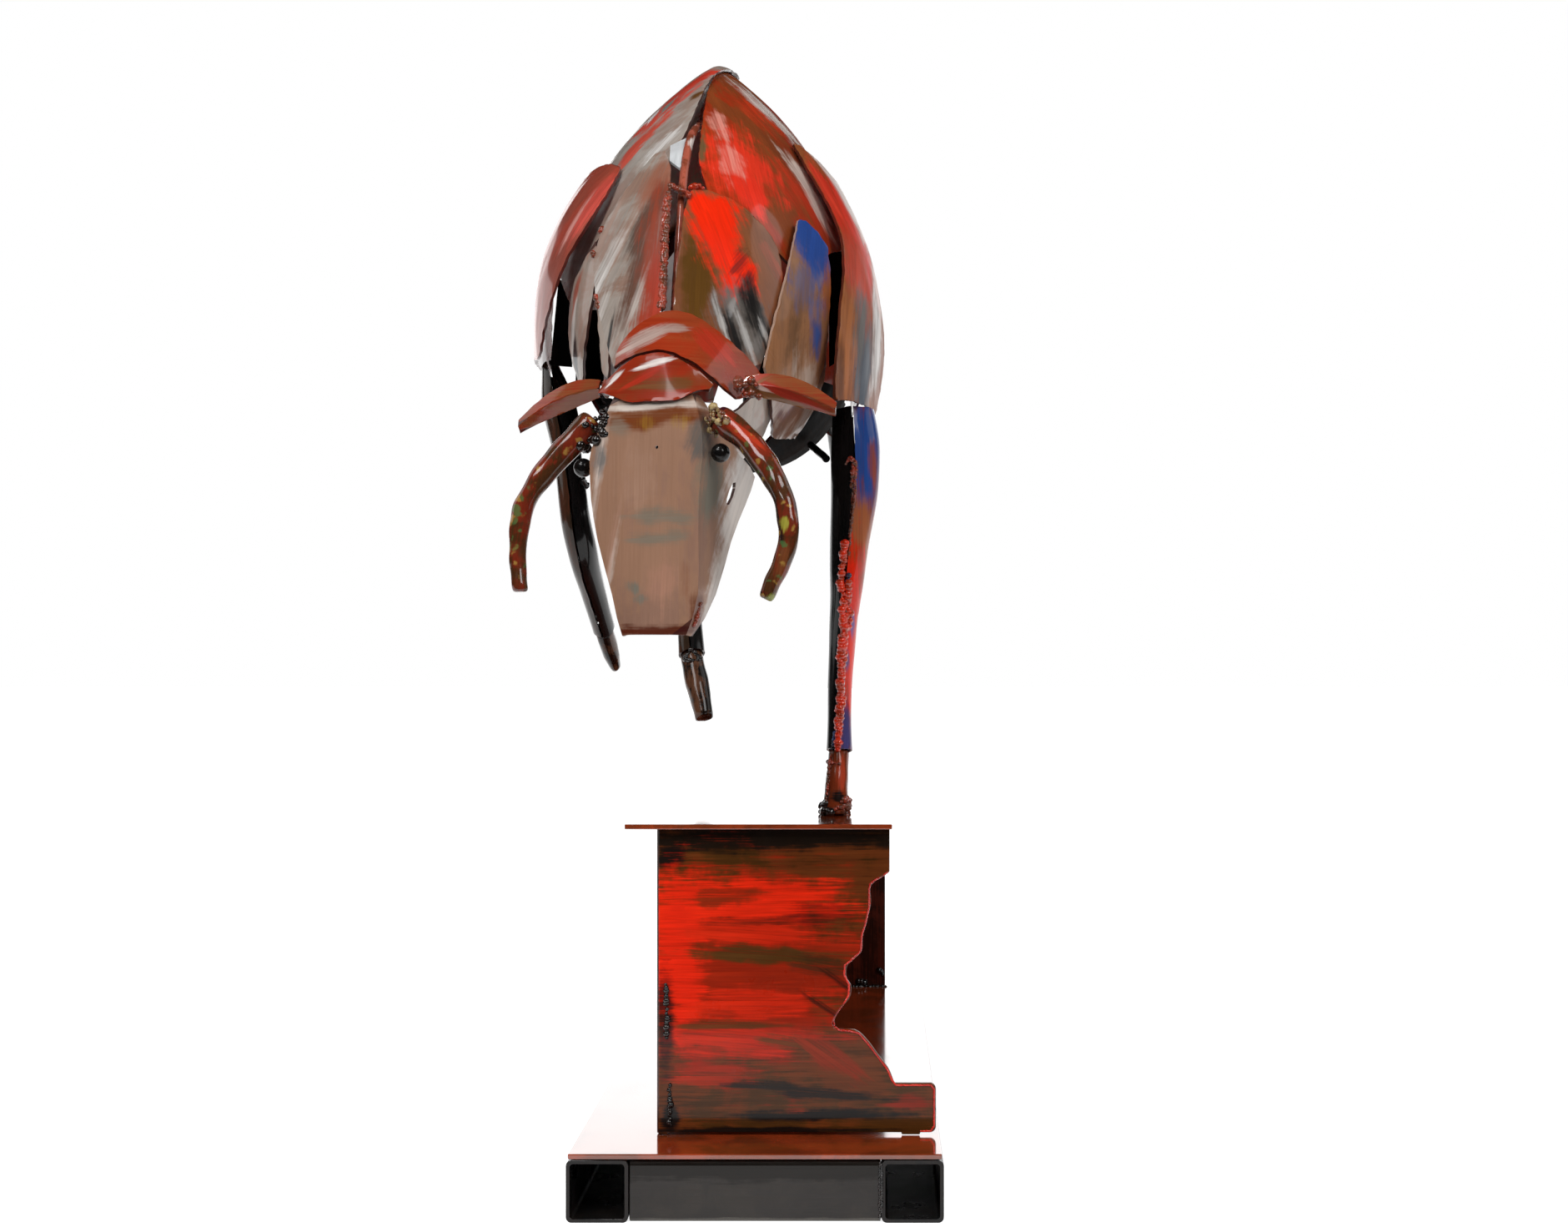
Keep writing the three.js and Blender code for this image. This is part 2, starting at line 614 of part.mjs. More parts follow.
// Ears: leaves folded along their length, each on a lump of weld at its root
const EAR_ROOT = [22.5, 13, 5.5];
const EAR_LENGTH = 27;
const EAR_WIDTH = 7.6;
const EAR_FOLD = 2.2;
const EAR_DROOP = { left: 7.6, right: 10.4 };
const EAR_WELD = [1.6, 2.4, 3]; // half sizes
function ear(side, droop) {
  const place = (s, t) => {
    const across = 2 * s - 1;
    const leaf = 0.32 + 0.68 * Math.sin(Math.PI * Math.min(0.12 + 0.84 * t, 0.94));
    return new THREE.Vector3(
      side * (EAR_ROOT[0] + EAR_LENGTH * t),
      EAR_ROOT[1] + 3 * t + EAR_FOLD * leaf * Math.abs(across),
      EAR_ROOT[2] - droop * t * t + (EAR_WIDTH / 2) * leaf * across,
    );
  };
  return bentSheet(place, SHEET, 4, 7, new THREE.Vector3(side * 36, 60, 2));
}
for (const [name, side] of [["left", 1], ["right", -1]]) {
  piece(head, "ear_" + name, ear(side, EAR_DROOP[name]), BRICK);
  const at = [side * (EAR_ROOT[0] - EAR_WELD[0] - GAP), EAR_ROOT[1] + 0.6, EAR_ROOT[2]];
  piece(head, "ear_weld_" + name, lump(at, EAR_WELD), BRICK);
}

// Eyes: steel balls tacked to the brow's corners
for (const [name, at] of [["eye_left", [18.4, 2.8, -15.4]], ["eye_right", [-23.4, 1.8, -19]]]) {
  piece(head, name, new THREE.SphereGeometry(EYE_RADIUS, 12, 8), BLACK).position.set(...at);
}

// Legs: two half shells of sheet, welded along the front and the back, with a hoof below

const SEAM = 0.5; // between the two shells
const HALF_TURN = Math.PI;

// A limb's skin: the point at a turn around it and a share of the way down its stations, which are
// [x, y, z, half width, half depth].
function limbSkin(stations) {
  const path = new THREE.CatmullRomCurve3(stations.map(([x, y, z]) => new THREE.Vector3(x, y, z)));
  const size = new THREE.SplineCurve(stations.map(([, , , wide, deep]) => new THREE.Vector2(wide, deep)));
  return (turn, t, spread = 1) => {
    const down = path.getTangent(t);
    const aside = new THREE.Vector3(1, 0, 0).addScaledVector(down, -down.x).normalize();
    const ahead = new THREE.Vector3().crossVectors(down, aside).normalize();
    const half = size.getPoint(t);
    return path
      .getPoint(t)
      .addScaledVector(aside, spread * half.x * Math.cos(turn))
      .addScaledVector(ahead, spread * half.y * Math.sin(turn));
  };
}

function halfShell(stations, start, end, fetlock) {
  const skin = limbSkin(stations);
  const place = (s, t) => {
    const station = stations[Math.round(t * fetlock * (stations.length - 1))];
    const margin = SEAM / 2 / station[3];
    return skin(THREE.MathUtils.lerp(start + margin, end - margin, s), t * fetlock);
  };
  const core = stations[1].slice(0, 3);
  return bentSheet(place, SHEET, 6, 12, new THREE.Vector3(...core));
}

function hoof(stations, fetlock, floor) {
  const skin = limbSkin(stations);
  const geometry = new THREE.CylinderGeometry(1, 1, 1, 10, 4);
  const spots = geometry.getAttribute("position");
  for (let i = 0; i < spots.count; i++) {
    const t = THREE.MathUtils.lerp(fetlock, 1, 0.5 - spots.getY(i));
    const spread = Math.hypot(spots.getX(i), spots.getZ(i));
    const spot = skin(Math.atan2(spots.getZ(i), spots.getX(i)), t, spread);
    spots.setXYZ(i, spot.x, spot.y, Math.max(spot.z, floor));
  }
  return geometry;
}

const standing = TOP_OF_PEDESTAL + GAP;
const LEGS = {
  fore_left: {
    stations: [
      [51, 66, 266.9, 6.8, 11.5], [52.1, 65, 249, 8.4, 12], [49.2, 60, 212, 5.6, 9],
      [47.6, 62, 190, 4, 6.6], [46.4, 63, 167, 3.4, 5.4], [46.2, 61, 148, 3.8, 5.6],
      [45.6, 58, 137, 4.2, 6], [45, 57, standing, 5, 7],
    ],
    hoofStations: 2,
    outer: BLUE,
  },
  fore_right: {
    stations: [
      [-55.7, 66, 282, 2.4, 7], [-52, 62, 268, 5.4, 11], [-47.6, 54, 249, 4, 9], [-42.7, 45, 223, 4.4, 7.5],
      [-40.5, 62, 205, 3.6, 5.6], [-38.7, 76, 191, 3.2, 4.8], [-37.6, 84, 183, 3.4, 4.6],
      [-36.6, 91, 177, 2, 3],
    ],
    hoofStations: 2,
    outer: BRICK,
  },
  hind_left: {
    stations: [
      [38.2, 256, 282, 4.6, 15], [41.6, 266, 262, 5.6, 14], [42.4, 304, 234, 4.6, 8],
      [40, 328, 216, 4.4, 6.2], [39, 339, 206, 4.6, 6.4], [38, 348, 198, 3.6, 5],
    ],
    hoofStations: 2,
    outer: BROWN,
  },
  hind_right: {
    stations: [
      [-38.4, 256, 283, 4.6, 15], [-36.6, 264, 262, 5.6, 14], [-33.6, 296, 224, 4.8, 8],
      [-29.4, 279, 179, 5.4, 6.6], [-26, 273, 165, 5.8, 6.6], [-22.4, 267, 150.4, 4.4, 5],
    ],
    hoofStations: 2,
    outer: BLACK,
  },
};
for (const [name, { stations, hoofStations, outer }] of Object.entries(LEGS)) {
  const last = stations.length - 1;
  const fetlock = (last - hoofStations) / last;
  const [ankle, below] = [last - hoofStations, last - hoofStations + 1].map(
    (i) => new THREE.Vector3(...stations[i].slice(0, 3)),
  );
  const hoofStart = fetlock + GAP / ankle.distanceTo(below) / last;
  const first = (Math.sign(stations[0][0]) * -HALF_TURN) / 2;
  piece(bull, name + "_outer", halfShell(stations, first, first + HALF_TURN, fetlock), outer);
  piece(bull, name + "_inner", halfShell(stations, first + HALF_TURN, first + 2 * HALF_TURN, fetlock), BLACK);
  piece(bull, name + "_hoof", hoof(stations, hoofStart, standing), BROWN);
}

// A strut from the front rib to the top of the standing leg
const strutStart = bodySpot(86, 143, layer(0) + SHEET + ROD_RADIUS);
const [legX, legY, legZ, legHalf] = LEGS.fore_left.stations[1];
const strutEnd = new THREE.Vector3(legX - legHalf - SHEET - 4 * GAP, legY + 3, legZ + ROD_RADIUS);
const strutMiddle = strutStart.clone().lerp(strutEnd, 0.5);
piece(bull, "strut_fore_left", rod([strutStart, strutMiddle, strutEnd], ROD_RADIUS, ROD_RADIUS, 8, 4), BLACK);

// Tail: a rod that thickens to the tuft
const TAIL_ROOT_RADIUS = 2;
const TUFT_RADIUS = 3;
const tailPoints = [
  bodySpot(SPINE_END + 3 * GAP, 0, SPINE_LIFT).toArray(),
  [0, 320, 346], [-1, 334, 352], [-5, 343, 346], [-8, 346, 325], [-9, 344, 300], [-8, 342, 283],
];
piece(bull, "tail", rod(tailPoints, TAIL_ROOT_RADIUS, TUFT_RADIUS, 8, 18), BLACK);

// The origin is under the middle of the whole sculpture, on the ground
const size = new THREE.Box3().setFromObject(sculpture, true);
const middle = size.getCenter(new THREE.Vector3());
sculpture.position.set(-middle.x, -middle.y, -size.min.z);
const part = new THREE.Group();
part.add(sculpture);

export default part;
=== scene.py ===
import math

import bmesh
import bpy
import numpy as np
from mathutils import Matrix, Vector, noise
from mathutils.bvhtree import BVHTree


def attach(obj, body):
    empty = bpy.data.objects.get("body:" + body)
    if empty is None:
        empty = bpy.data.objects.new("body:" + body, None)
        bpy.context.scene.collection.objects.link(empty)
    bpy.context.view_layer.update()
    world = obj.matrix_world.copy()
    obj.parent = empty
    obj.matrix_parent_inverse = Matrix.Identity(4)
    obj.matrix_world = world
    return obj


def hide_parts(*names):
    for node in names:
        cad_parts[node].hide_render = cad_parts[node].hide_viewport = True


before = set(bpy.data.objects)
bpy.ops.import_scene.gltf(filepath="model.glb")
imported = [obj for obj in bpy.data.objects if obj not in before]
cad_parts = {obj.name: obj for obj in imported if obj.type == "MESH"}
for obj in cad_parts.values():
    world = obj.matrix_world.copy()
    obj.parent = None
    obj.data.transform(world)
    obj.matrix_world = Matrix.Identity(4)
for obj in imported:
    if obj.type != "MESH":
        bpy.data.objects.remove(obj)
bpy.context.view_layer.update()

MM = 0.001

# Camera: a level look along +Y at the bull's face, from 0.65 m before the base. The lens is shifted
# as the photograph was cropped. Pixels below are those of the photograph, 1880 x 1471.
PICTURE_SIZE = (1880, 1471)
SENSOR = 36
EYE = Vector((48.06, -785.5, 189.5)) * MM
EYE_PIXEL = (1044, 757)
PIXELS_PER_SLOPE = 2432.6  # across the picture, for what lies as far aside as it lies away


def placed(name, data):
    """A new object with its data, in the scene."""
    thing = bpy.data.objects.new(name, data)
    bpy.context.scene.collection.objects.link(thing)
    return thing


camera_data = bpy.data.cameras.new("camera")
camera_data.sensor_width = SENSOR
camera_data.lens = PIXELS_PER_SLOPE / PICTURE_SIZE[0] * SENSOR
camera_data.shift_x = (PICTURE_SIZE[0] / 2 - EYE_PIXEL[0]) / PICTURE_SIZE[0]
camera_data.shift_y = (EYE_PIXEL[1] - PICTURE_SIZE[1] / 2) / PICTURE_SIZE[0]
camera_data.clip_start = 0.01
camera = placed("camera", camera_data)
camera.location = EYE
camera.rotation_euler = (math.radians(90), 0, 0)
bpy.context.scene.camera = camera

# Studio: a white floor and white surroundings that the lacquer mirrors, a dark end behind and above
# the camera, which keeps the colours deep, and large soft lamps. The floor keeps the soft shadow.
bpy.context.scene.view_settings.view_transform = "Standard"
FLOOR_SIZE = 12
FLOOR_OWN_LIGHT = (0.8, 1.0)
OWN_LIGHT_RISES = (0.7, 1.8)
SURROUND_STRENGTH = 0.62  # towards all but the camera's own, mirrored and passing rays


def add(tree, kind, settings=None, inputs=None):
    """Adds a node with its settings, and sets or links its inputs."""
    node = tree.nodes.new(kind)
    for key, value in (settings or {}).items():
        setattr(node, key, value)
    for key, value in (inputs or {}).items():
        if isinstance(value, bpy.types.NodeSocket):
            tree.links.new(value, node.inputs[key])
        else:
            node.inputs[key].default_value = value
    return node


def emptied(owner):
    """The node tree of a world or a material, without its nodes."""
    owner.use_nodes = True
    owner.node_tree.nodes.clear()
    return owner.node_tree


def as_mesh(shape, name):
    """A bmesh as a mesh."""
    mesh = bpy.data.meshes.new(name)
    shape.to_mesh(mesh)
    shape.free()
    return mesh


world = bpy.data.worlds.new("white_surroundings")
bpy.context.scene.world = world
tree = emptied(world)
rays = add(tree, "ShaderNodeLightPath")
seen = add(tree, "ShaderNodeMath", {"operation": "MAXIMUM"}, {
    0: rays.outputs["Is Camera Ray"], 1: rays.outputs["Is Glossy Ray"]})
seen = add(tree, "ShaderNodeMath", {"operation": "MAXIMUM"}, {
    0: seen.outputs[0], 1: rays.outputs["Is Transmission Ray"]})
strength = add(tree, "ShaderNodeMapRange", None, {
    "Value": seen.outputs[0], "To Min": SURROUND_STRENGTH, "To Max": 1.0})
background = add(tree, "ShaderNodeBackground", None, {
    "Color": (1, 1, 1, 1), "Strength": strength.outputs[0]})
add(tree, "ShaderNodeOutputWorld", None, {"Surface": background.outputs[0]})

bpy.ops.mesh.primitive_plane_add(size=FLOOR_SIZE)
floor = bpy.context.object
floor.name = "floor"
floor_material = bpy.data.materials.new("white_studio_floor")
tree = emptied(floor_material)
rays = add(tree, "ShaderNodeLightPath")
matt = add(tree, "ShaderNodeBsdfDiffuse", None, {"Color": (0.8, 0.8, 0.8, 1)})
away = add(tree, "ShaderNodeTexCoord").outputs["Object"]
away = add(tree, "ShaderNodeVectorMath", {"operation": "LENGTH"}, {0: away}).outputs["Value"]
away = add(tree, "ShaderNodeMapRange", None, {
    "Value": away, "From Min": OWN_LIGHT_RISES[0], "From Max": OWN_LIGHT_RISES[1],
    "To Min": FLOOR_OWN_LIGHT[0], "To Max": FLOOR_OWN_LIGHT[1]}).outputs[0]
own_light = add(tree, "ShaderNodeEmission", None, {"Color": (1, 1, 1, 1), "Strength": away})
lit = add(tree, "ShaderNodeAddShader", None, {0: matt.outputs[0], 1: own_light.outputs[0]})
seen = add(tree, "ShaderNodeMath", {"operation": "MAXIMUM"}, {
    0: rays.outputs["Is Camera Ray"], 1: rays.outputs["Is Glossy Ray"]})
surface = add(tree, "ShaderNodeMixShader", None, {
    0: seen.outputs[0], 1: matt.outputs[0], 2: lit.outputs[0]})
add(tree, "ShaderNodeOutputMaterial", None, {"Surface": surface.outputs[0]})
floor.data.materials.append(floor_material)

LIFT = 0.0003  # the dark end lies this far above the floor
HOOD_PROFILE = [(-0.4, LIFT), (-3.4, LIFT), (-3.4, 2.0), (-3.1, 2.7), (-2.4, 3.1), (1.6, 2.9), (5, 1.9)]
HOOD_SILL = [(5, 0.8), (3, LIFT)]
HOOD_WIDTH = 7

shape = bmesh.new()
left = [shape.verts.new((-HOOD_WIDTH / 2, y, z)) for y, z in HOOD_PROFILE]
right = [shape.verts.new((HOOD_WIDTH / 2, y, z)) for y, z in HOOD_PROFILE]
for i in range(len(HOOD_PROFILE) - 1):
    shape.faces.new((left[i], right[i], right[i + 1], left[i + 1]))
for side in (left, right):
    sill = [shape.verts.new((side[0].co.x, y, z)) for y, z in HOOD_SILL]
    shape.faces.new(side[1:] + sill)
hood = placed("dark_end_of_studio", as_mesh(shape, "dark_end"))
hood_material = bpy.data.materials.new("dark_end_white_to_the_camera")
tree = emptied(hood_material)
rays = add(tree, "ShaderNodeLightPath")
dark = add(tree, "ShaderNodeBsdfDiffuse", None, {"Color": (0.03, 0.03, 0.03, 1)})
white = add(tree, "ShaderNodeEmission", None, {"Color": (1, 1, 1, 1), "Strength": 1.0})
surface = add(tree, "ShaderNodeMixShader", None, {
    0: rays.outputs["Is Camera Ray"], 1: dark.outputs[0], 2: white.outputs[0]})
add(tree, "ShaderNodeOutputMaterial", None, {"Surface": surface.outputs[0]})
hood.data.materials.append(hood_material)

LAMPS_AIM = Vector((0, 0, 0.2))
for name, place, wide, high, power in [
    ("lamp_behind", (0.0, 2.4, 0.6), 1.7, 0.9, 5),
    ("lamp_rear_left", (1.5, 0.5, 1.2), 1.2, 1.2, 5),
    ("lamp_rear_right", (-1.5, 0.5, 1.1), 1.2, 1.2, 5),
    ("lamp_front_right", (-0.9, -1.7, 1.7), 1.1, 0.9, 30),
    ("lamp_front_left", (1.2, -1.4, 1.3), 0.9, 0.9, 20),
    ("lamp_glint", (-0.35, -0.7, 1.5), 0.16, 0.16, 3.5),
]:
    lamp = bpy.data.lights.new(name, "AREA")
    lamp.shape = "RECTANGLE"
    lamp.size = wide
    lamp.size_y = high
    lamp.energy = power
    lamp_object = placed(name, lamp)
    lamp_object.location = place
    lamp_object.rotation_euler = (LAMPS_AIM - Vector(place)).to_track_quat("-Z", "Y").to_euler()

# Base: two square tubes with open ends and a cross tube between them at the front and the rear, mill
# steel under black lacquer, welded at the corners and ground flat at the front.
MERGE_REACH = 0.002 * MM
SHARP = math.radians(40)  # two faces that meet at more than this meet in an edge, and not in a bend
FLAT_FACE = 4e-6  # square metres; smaller faces are those of the bevel


def merged(node):
    """A CAD node's mesh with its loose triangles joined, as a bmesh."""
    shape = bmesh.new()
    shape.from_mesh(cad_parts[node].data)
    bmesh.ops.remove_doubles(shape, verts=shape.verts, dist=MERGE_REACH)
    bmesh.ops.dissolve_degenerate(shape, edges=shape.edges, dist=MERGE_REACH)
    return shape


def finished(name, mesh, node, material):
    """The object of a finished mesh, riding on the sculpture in place of a CAD node, if it has one."""
    piece = placed(name, mesh)
    mesh.materials.clear()
    mesh.materials.append(material)
    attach(piece, "root")
    if node:
        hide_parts(node)
    return piece


def modified(mesh, modifiers):
    """A mesh with modifiers, given as (type, settings), applied."""
    holder = placed("holder", mesh)
    for kind, settings in modifiers:
        modifier = holder.modifiers.new(kind.lower(), kind)
        for key, value in settings.items():
            setattr(modifier, key, value)
    graph = bpy.context.evaluated_depsgraph_get()
    made = bpy.data.meshes.new_from_object(holder.evaluated_get(graph))
    bpy.data.objects.remove(holder)
    return made


def stock(node, bevel):
    """A straight piece of stock: the CAD node's shape with its edges broken by a bevel."""
    shape = merged(node)
    bmesh.ops.dissolve_limit(shape, angle_limit=math.radians(1), verts=shape.verts, edges=shape.edges)
    mesh = modified(as_mesh(shape, node), [("BEVEL", {
        "width": bevel, "segments": 2, "limit_method": "ANGLE", "angle_limit": SHARP})])
    for face in mesh.polygons:
        face.use_smooth = face.area < FLAT_FACE
    return mesh


trees = {}  # of the CAD nodes that seen_point has searched
FIRST_REACH = 0.75  # metres from the eye, where its search beside a node starts
SEARCH_STEPS = 12


def seen_point(pixel, *nodes):
    """The point of some CAD nodes that the camera sees at a pixel of the photograph, or else the point
    nearest to its line of view."""
    x, y = pixel
    ray = Vector(((x - EYE_PIXEL[0]) / PIXELS_PER_SLOPE, 1, (EYE_PIXEL[1] - y) / PIXELS_PER_SLOPE))
    ray.normalize()
    best = None
    for node in nodes:
        if node not in trees:
            shape = merged(node)
            trees[node] = BVHTree.FromBMesh(shape)
            shape.free()
        hit = trees[node].ray_cast(EYE, ray)
        if hit[0] is None:
            hit = trees[node].find_nearest(EYE + ray * FIRST_REACH)
            for _ in range(SEARCH_STEPS):
                hit = trees[node].find_nearest(EYE + ray * (hit[0] - EYE).dot(ray))
        if best is None or (hit[0] - EYE).length < (best - EYE).length:
            best = hit[0]
    return best


def linear(hex_colour):
    """An sRGB hex colour as linear RGBA."""
    parts = [int(hex_colour[i:i + 2], 16) / 255 for i in (1, 3, 5)]
    return [p / 12.92 if p <= 0.04045 else ((p + 0.055) / 1.055) ** 2.4 for p in parts] + [1]


BRUSH = 3.2 * MM  # from one broad brush mark to the next
BRUSH_RUN = 55 * MM
BRISTLE = 0.7 * MM  # from one bristle mark to the next, a little coarser than real so that it shows
BRISTLE_RUN = 22 * MM
PATCH_WAVE = 26 * MM  # size of the blotches where two coats show through each other
WASH_DEPTH = 1.6  # a wash reaches this times its larger half size into the picture, if not told
WARP_WAVE = 12 * MM  # of the noise that makes the outlines of washes and flecks ragged
FLECK = 3 * MM
FLECK_SHIFT = 9 * MM
PIT = 1.6 * MM
COAT_RELIEF = 0.15 * MM  # height of the brush marks in the coat


# Some washes given to a lacquer are painted highlights, sheen, reflection and shade; each is marked where
# it is listed.
def lacquer(name, ground, washes=(), on=(), roughness=(0.25, 0.45), stroke=0.5, rim="#3A1414", speck=0.0,
            ground_turn=90, coat=0.4, shine=1.5, streak=0.3, ragged=1.4, soft=0.9, patch=PATCH_WAVE):
    """Hand-brushed gloss lacquer over sheet steel. Two ground colours show through each other in
    blotches, and washes of other colours are brushed over them. A wash is (colour, pixel, half sizes
    in pixels along and across its strokes, turn of the strokes in degrees, cover from 0 to 1, and at
    times how far it reaches into the picture). Bristle marks stand in the coat."""
    material = bpy.data.materials.new(name)
    tree = emptied(material)
    place = add(tree, "ShaderNodeTexCoord").outputs["Object"]

    def marks(turn, centre=(0, 0, 0)):
        """Long thin noise in two sizes, for brush and bristle marks along a turn in the XZ plane."""
        sizes = []
        for width, run in ((BRUSH, BRUSH_RUN), (BRISTLE, BRISTLE_RUN)):
            turned = add(tree, "ShaderNodeMapping", {"vector_type": "TEXTURE"}, {
                "Vector": place, "Location": centre, "Rotation": (0, -math.radians(turn), 0),
                "Scale": (run, run, width)})
            sizes.append(add(tree, "ShaderNodeTexNoise", None, {
                "Vector": turned.outputs[0], "Scale": 1.0, "Detail": 3.0, "Roughness": 0.6}).outputs[0])
        return add(tree, "ShaderNodeMix", {"data_type": "FLOAT"}, {
            0: 0.5, 2: sizes[0], 3: sizes[1]}).outputs[0]

    def mixed(below, above, factor):
        return add(tree, "ShaderNodeMix", {"data_type": "RGBA"}, {
            0: factor, 6: below, 7: above}).outputs[2]

    def stepped(value, low, high, top=1.0):
        return add(tree, "ShaderNodeMapRange", {"interpolation_type": "SMOOTHSTEP"}, {
            "Value": value, "From Min": low, "From Max": high, "To Max": top}).outputs[0]

    blotch = add(tree, "ShaderNodeTexNoise", None, {
        "Vector": place, "Scale": 1 / patch, "Detail": 5.0, "Roughness": 0.6,
        "Distortion": 0.6}).outputs[0]
    bristle = marks(ground_turn)
    both = add(tree, "ShaderNodeMath", {"operation": "MULTIPLY_ADD"}, {
        0: bristle, 1: 0.7, 2: blotch}).outputs[0]
    colour = mixed(linear(ground[0]), linear(ground[1]), stepped(both, 0.78, 0.94))
    warp = add(tree, "ShaderNodeTexNoise", None, {
        "Vector": place, "Scale": 1 / WARP_WAVE, "Detail": 4.0, "Roughness": 0.6})
    warp = add(tree, "ShaderNodeVectorMath", {"operation": "SUBTRACT"}, {
        0: warp.outputs["Color"], 1: (0.5, 0.5, 0.5)}).outputs[0]
    relief = bristle
    for hex_colour, pixel, half, turn, cover, *deep in washes:
        centre = seen_point(pixel, *on)
        scale = (centre.y - EYE.y) / PIXELS_PER_SLOPE
        depth = max(half) * scale * (deep[0] if deep else WASH_DEPTH)
        local = add(tree, "ShaderNodeMapping", {"vector_type": "TEXTURE"}, {
            "Vector": place, "Location": centre, "Rotation": (0, -math.radians(turn), 0),
            "Scale": (half[0] * scale, depth, half[1] * scale)})
        bent = add(tree, "ShaderNodeVectorMath", {"operation": "MULTIPLY_ADD"}, {
            0: warp, 1: (ragged, ragged, ragged), 2: local.outputs[0]})
        reach = add(tree, "ShaderNodeVectorMath", {"operation": "LENGTH"}, {0: bent.outputs[0]})
        inside = add(tree, "ShaderNodeMath", {"operation": "MULTIPLY_ADD"}, {
            0: reach.outputs["Value"], 1: -1.5, 2: 1.7})
        inside = add(tree, "ShaderNodeMath", {"operation": "MINIMUM"}, {0: inside.outputs[0], 1: 1.0})
        hair = marks(turn, centre)
        broken = add(tree, "ShaderNodeMath", {"operation": "MULTIPLY_ADD"}, {
            0: hair, 1: 4.0, 2: inside.outputs[0]}).outputs[0]
        middle = 3.3 - cover  # where the bristle marks and the wash's falling edge together half cover
        covered = stepped(broken, middle - soft / 2, middle + soft / 2, min(1.0, 0.5 + 0.6 * cover))
        colour = mixed(colour, linear(hex_colour), covered)
        relief = add(tree, "ShaderNodeMix", {"data_type": "FLOAT"}, {
            0: covered, 2: relief, 3: hair}).outputs[0]
    shade = add(tree, "ShaderNodeMapRange", None, {
        "Value": relief, "From Min": 0.3, "From Max": 0.7, "To Min": 1 - streak,
        "To Max": 1 + 0.6 * streak}).outputs[0]
    colour = add(tree, "ShaderNodeVectorMath", {"operation": "SCALE"}, {
        0: colour, "Scale": shade}).outputs[0]
    if speck:
        run = add(tree, "ShaderNodeVectorMath", {"operation": "MULTIPLY_ADD"}, {
            0: warp, 1: (FLECK_SHIFT, FLECK_SHIFT, FLECK_SHIFT), 2: place}).outputs[0]
        grain = add(tree, "ShaderNodeTexVoronoi", None, {"Vector": run, "Scale": 1 / FLECK})
        sparse = add(tree, "ShaderNodeMath", {"operation": "MULTIPLY_ADD"}, {
            0: blotch, 1: 1.6, 2: grain.outputs["Distance"]}).outputs[0]
        tint = mixed(linear("#B48C44"), linear("#4C7440"), stepped(grain.outputs["Color"], 0.5, 0.54))
        colour = mixed(colour, tint, stepped(sparse, 1.12, 0.9, speck))
    edge = add(tree, "ShaderNodeAttribute", {"attribute_name": "rim"})
    colour = mixed(colour, linear(rim), stepped(edge.outputs["Fac"], 0.4, 0.6, 0.85))
    gloss = add(tree, "ShaderNodeMapRange", None, {
        "Value": blotch, "From Min": 0.3, "From Max": 0.7, "To Min": roughness[0], "To Max": roughness[1]})
    pits = add(tree, "ShaderNodeTexNoise", None, {"Vector": place, "Scale": 1 / PIT, "Detail": 3.0})
    pitted = add(tree, "ShaderNodeMath", {"operation": "MULTIPLY_ADD"}, {
        0: pits.outputs[0], 1: 0.3, 2: relief})
    bump = add(tree, "ShaderNodeBump", None, {
        "Strength": stroke, "Distance": COAT_RELIEF, "Height": pitted.outputs[0]})
    shader = add(tree, "ShaderNodeBsdfPrincipled", None, {
        "Base Color": colour, "Roughness": gloss.outputs[0], "Normal": bump.outputs[0],
        "IOR": shine, "Specular IOR Level": 0.08, "Coat Weight": coat, "Coat Roughness": 0.08,
        "Coat IOR": shine})
    add(tree, "ShaderNodeOutputMaterial", None, {"Surface": shader.outputs[0]})
    return material


black_tube = lacquer("black_lacquer_on_steel_tube", ("#121111", "#1B1614"), roughness=(0.22, 0.4),
                     stroke=0.25)
cross_tube = lacquer(
    "dark_lacquer_on_cross_tube", ("#332E2A", "#2C2826"),
    [("#140F0B", (900, 1398), (230, 17), 0, 1.0), ("#17120E", (1000, 1402), (130, 14), 0, 1.0),
     # the pale band along the bottom is a painted highlight on the tube's lower edge
     ("#5A554F", (900, 1462), (230, 3), 0, 0.8)],
    ["base_cross_front"], stroke=0.3, roughness=(0.25, 0.4), ground_turn=0)
TUBE_BEVEL = 0.25 * MM
for node, material in [
    ("base_tube_left", black_tube),
    ("base_tube_right", black_tube),
    ("base_cross_front", cross_tube),
    ("base_cross_rear", cross_tube),
]:
    slot = "black_lacquer" if material == black_tube else "dark_steel"
    finished(node + "_lacquered", stock(node, TUBE_BEVEL), node, material)

